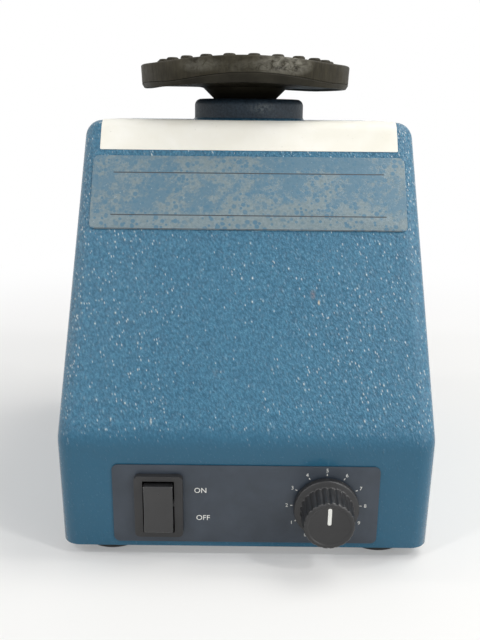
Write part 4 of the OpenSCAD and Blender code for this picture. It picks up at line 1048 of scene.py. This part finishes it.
# ---- suspension
def springs():
    """Round wire coils: the height runs evenly through the turns, and levels off over the closed end turns."""
    low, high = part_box("press_springs")
    wire, turns, closed = 0.7 * MM, 7, 0.8
    t = np.linspace(0, turns, turns * 28 + 1)
    z = low[2] + wire + (high[2] - low[2] - 2 * wire) * np.clip((t - closed) / (turns - 2 * closed), 0, 1)
    middle = (np.array(low) + np.array(high)) / 2
    coil = (high[0] - low[0]) / 2 - GUIDE_X - wire
    patches = []
    for x in (middle[0] - GUIDE_X, middle[0] + GUIDE_X):
        for y in (middle[1] - GUIDE_Y, middle[1] + GUIDE_Y):
            path = np.stack([x + coil * np.cos(math.tau * t), y + coil * np.sin(math.tau * t), z], 1)
            patches.append(tube_along(path, wire, 10))
    obj = mesh_of("coil_springs", patches, SPRING, 60)
    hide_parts("press_springs")
    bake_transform(obj)


# ---- what the source gives, finished
def dressing():
    """Geometry nodes that merge a CAD mesh and shade it smooth between its edges, before a small bevel."""
    group = bpy.data.node_groups.new("smooth_between_edges", "GeometryNodeTree")
    group.interface.new_socket("Geometry", in_out="INPUT", socket_type="NodeSocketGeometry")
    group.interface.new_socket("Geometry", in_out="OUTPUT", socket_type="NodeSocketGeometry")
    nodes, links = group.nodes, group.links
    enter, leave = nodes.new("NodeGroupInput"), nodes.new("NodeGroupOutput")
    merge = nodes.new("GeometryNodeMergeByDistance")
    merge.inputs["Distance"].default_value = 1e-6
    round_off = nodes.new("GeometryNodeSetShadeSmooth")
    crease = nodes.new("GeometryNodeSetShadeSmooth")
    crease.domain = "EDGE"
    crease.inputs["Shade Smooth"].default_value = False
    angle = nodes.new("GeometryNodeInputMeshEdgeAngle")
    past = nodes.new("FunctionNodeCompare")
    past.data_type = "FLOAT"
    past.operation = "GREATER_THAN"
    past.inputs["B"].default_value = math.radians(30)
    links.new(enter.outputs[0], merge.inputs[0])
    links.new(merge.outputs[0], round_off.inputs[0])
    links.new(round_off.outputs[0], crease.inputs[0])
    links.new(angle.outputs["Unsigned Angle"], past.inputs["A"])
    links.new(past.outputs[0], crease.inputs["Selection"])
    links.new(crease.outputs[0], leave.inputs[0])
    return group


FINISH = {
    "base_plate": (SHEET, 0.2), "foot_screws": (ZINC, 0.15), "switch_body": (BLACK, 0.25),
    "switch_terminals": (BRASS, 0.1), "dial_pot": (SHEET, 0.25), "pot_nut": (ZINC, 0.15), "pot_shaft": (ZINC, 0.2),
    "knob_screw": (IRON, 0.1), "guide_posts": (ZINC, 0.2), "post_washers": (ZINC, 0.1), "post_nuts": (ZINC, 0.2),
    "touch_bracket": (SHEET, 0.15), "bracket_screws": (ZINC, 0.2), "touch_switch": (BLACK, 0.3),
    "touch_screws": (ZINC, 0.15), "touch_plunger": (RED, 0.15), "upper_bracket": (CAST, 0.4),
    "lower_bracket": (CAST, 0.4), "stator_core": (CORE, 0.2), "stator_windings": (COPPER, 0.8),
    "through_bolts": (ZINC, 0.2), "through_nuts": (ZINC, 0.2), "upper_bearing": (BEARING, 0.25),
    "lower_bearing": (BEARING, 0.25), "motor_shaft": (BEARING, 0.2), "rotor_core": (ROTOR, 0.3),
    "cooling_fan": (NYLON, 0.2), "fan_screw": (IRON, 0.1), "eccentric_hub": (CAST, 0.35),
    "counterweight": (IRON, 0.4), "weight_screws": (ZINC, 0.15), "hub_screw": (IRON, 0.1),
    "head_bearing": (BEARING, 0.25), "bearing_clip": (SPRING, 0.1), "drive_post": (BEARING, 0.3),
    "splash_ring": (HARD_RUBBER, 0.2), "circuit_board": (BOARD, 0.1), "board_posts": (NYLON, 0.15),
    "board_screws": (ZINC, 0.15), "terminal_block": (GREEN, 0.3), "triac": (BLACK, 0.2), "heat_sink": (CAST, 0.2),
    "film_capacitor": (FILM, 0.8), "choke_coil": (COPPER, 0.3), "switch_leads": (LEAD_RED, 0.0),
    "dial_leads": (LEAD_YELLOW, 0.0), "motor_leads": (LEAD_BLUE, 0.0),
}


def finish_source():
    """Gives each CAD node left in view its material, smooth shading and a fine bevel."""
    group = dressing()
    for name, (mat, width) in FINISH.items():
        obj = NODES[name]
        obj.data.materials.clear()
        obj.data.materials.append(mat)
        obj.modifiers.new("smooth", "NODES").node_group = group
        if width:
            softened(obj, width, 40)


# ---- surroundings
def surroundings():
    """Pale floor, even daylight, and a white background to the camera, to gloss and through glass."""
    reach = 3.0
    data = bpy.data.meshes.new("floor")
    data.from_pydata([(-reach, -reach, 0), (reach, -reach, 0), (reach, reach, 0), (-reach, reach, 0)], [],
                     [(0, 1, 2, 3)])
    data.materials.append(floor_finish())
    in_scene("floor", data)
    world = bpy.data.worlds.new("studio")
    bpy.context.scene.world = world
    world.use_nodes = True
    tree = world.node_tree
    sky = tree.nodes["Background"]
    fill(tree, sky, Color=(0.93, 0.96, 1.0, 1), Strength=0.42)
    white = add(tree, "Background", Color=(1, 1, 1, 1), Strength=1.0)
    either = add(tree, "MixShader", _0=beyond_light(tree), _1=sky.outputs[0], _2=white.outputs[0])
    fill(tree, tree.nodes["World Output"], Surface=either.outputs[0])
    plain, warm, amber = (1, 1, 1), (1, 0.985, 0.95), (1, 0.97, 0.92)
    softbox("overhead", (0.50, 0.10, 1.0), (0, 0, 0.08), (0.6, 0.6), 5.7, warm)
    softbox("left_strip", (-0.85, -0.12, 0.50), (0, 0, 0.09), (0.06, 0.3), 1.2, amber)
    softbox("right_strip", (0.85, -0.14, 0.50), (0, 0, 0.09), (0.06, 0.3), 1.2, warm)
    softbox("front_wall", (0.95, -0.85, 0.40), (0, 0, 0.08), (0.8, 0.6), 3.2, (1, 0.985, 0.96))
    softbox("left_window", (-0.52, -0.60, 0.78), (0, 0, 0.1), (0.10, 0.10), 1.6, plain)
    softbox("right_window", (0.60, -0.55, 0.78), (0, 0, 0.1), (0.10, 0.10), 2.2, plain)


camera()
housing()
caution_sheet()
name_plate()
panel_plate()
dial_knob()
rocker()
feet()
gland()
head_cover()
head_platform()
springs()
finish_source()
surroundings()
bpy.context.scene.view_settings.view_transform = "Standard"
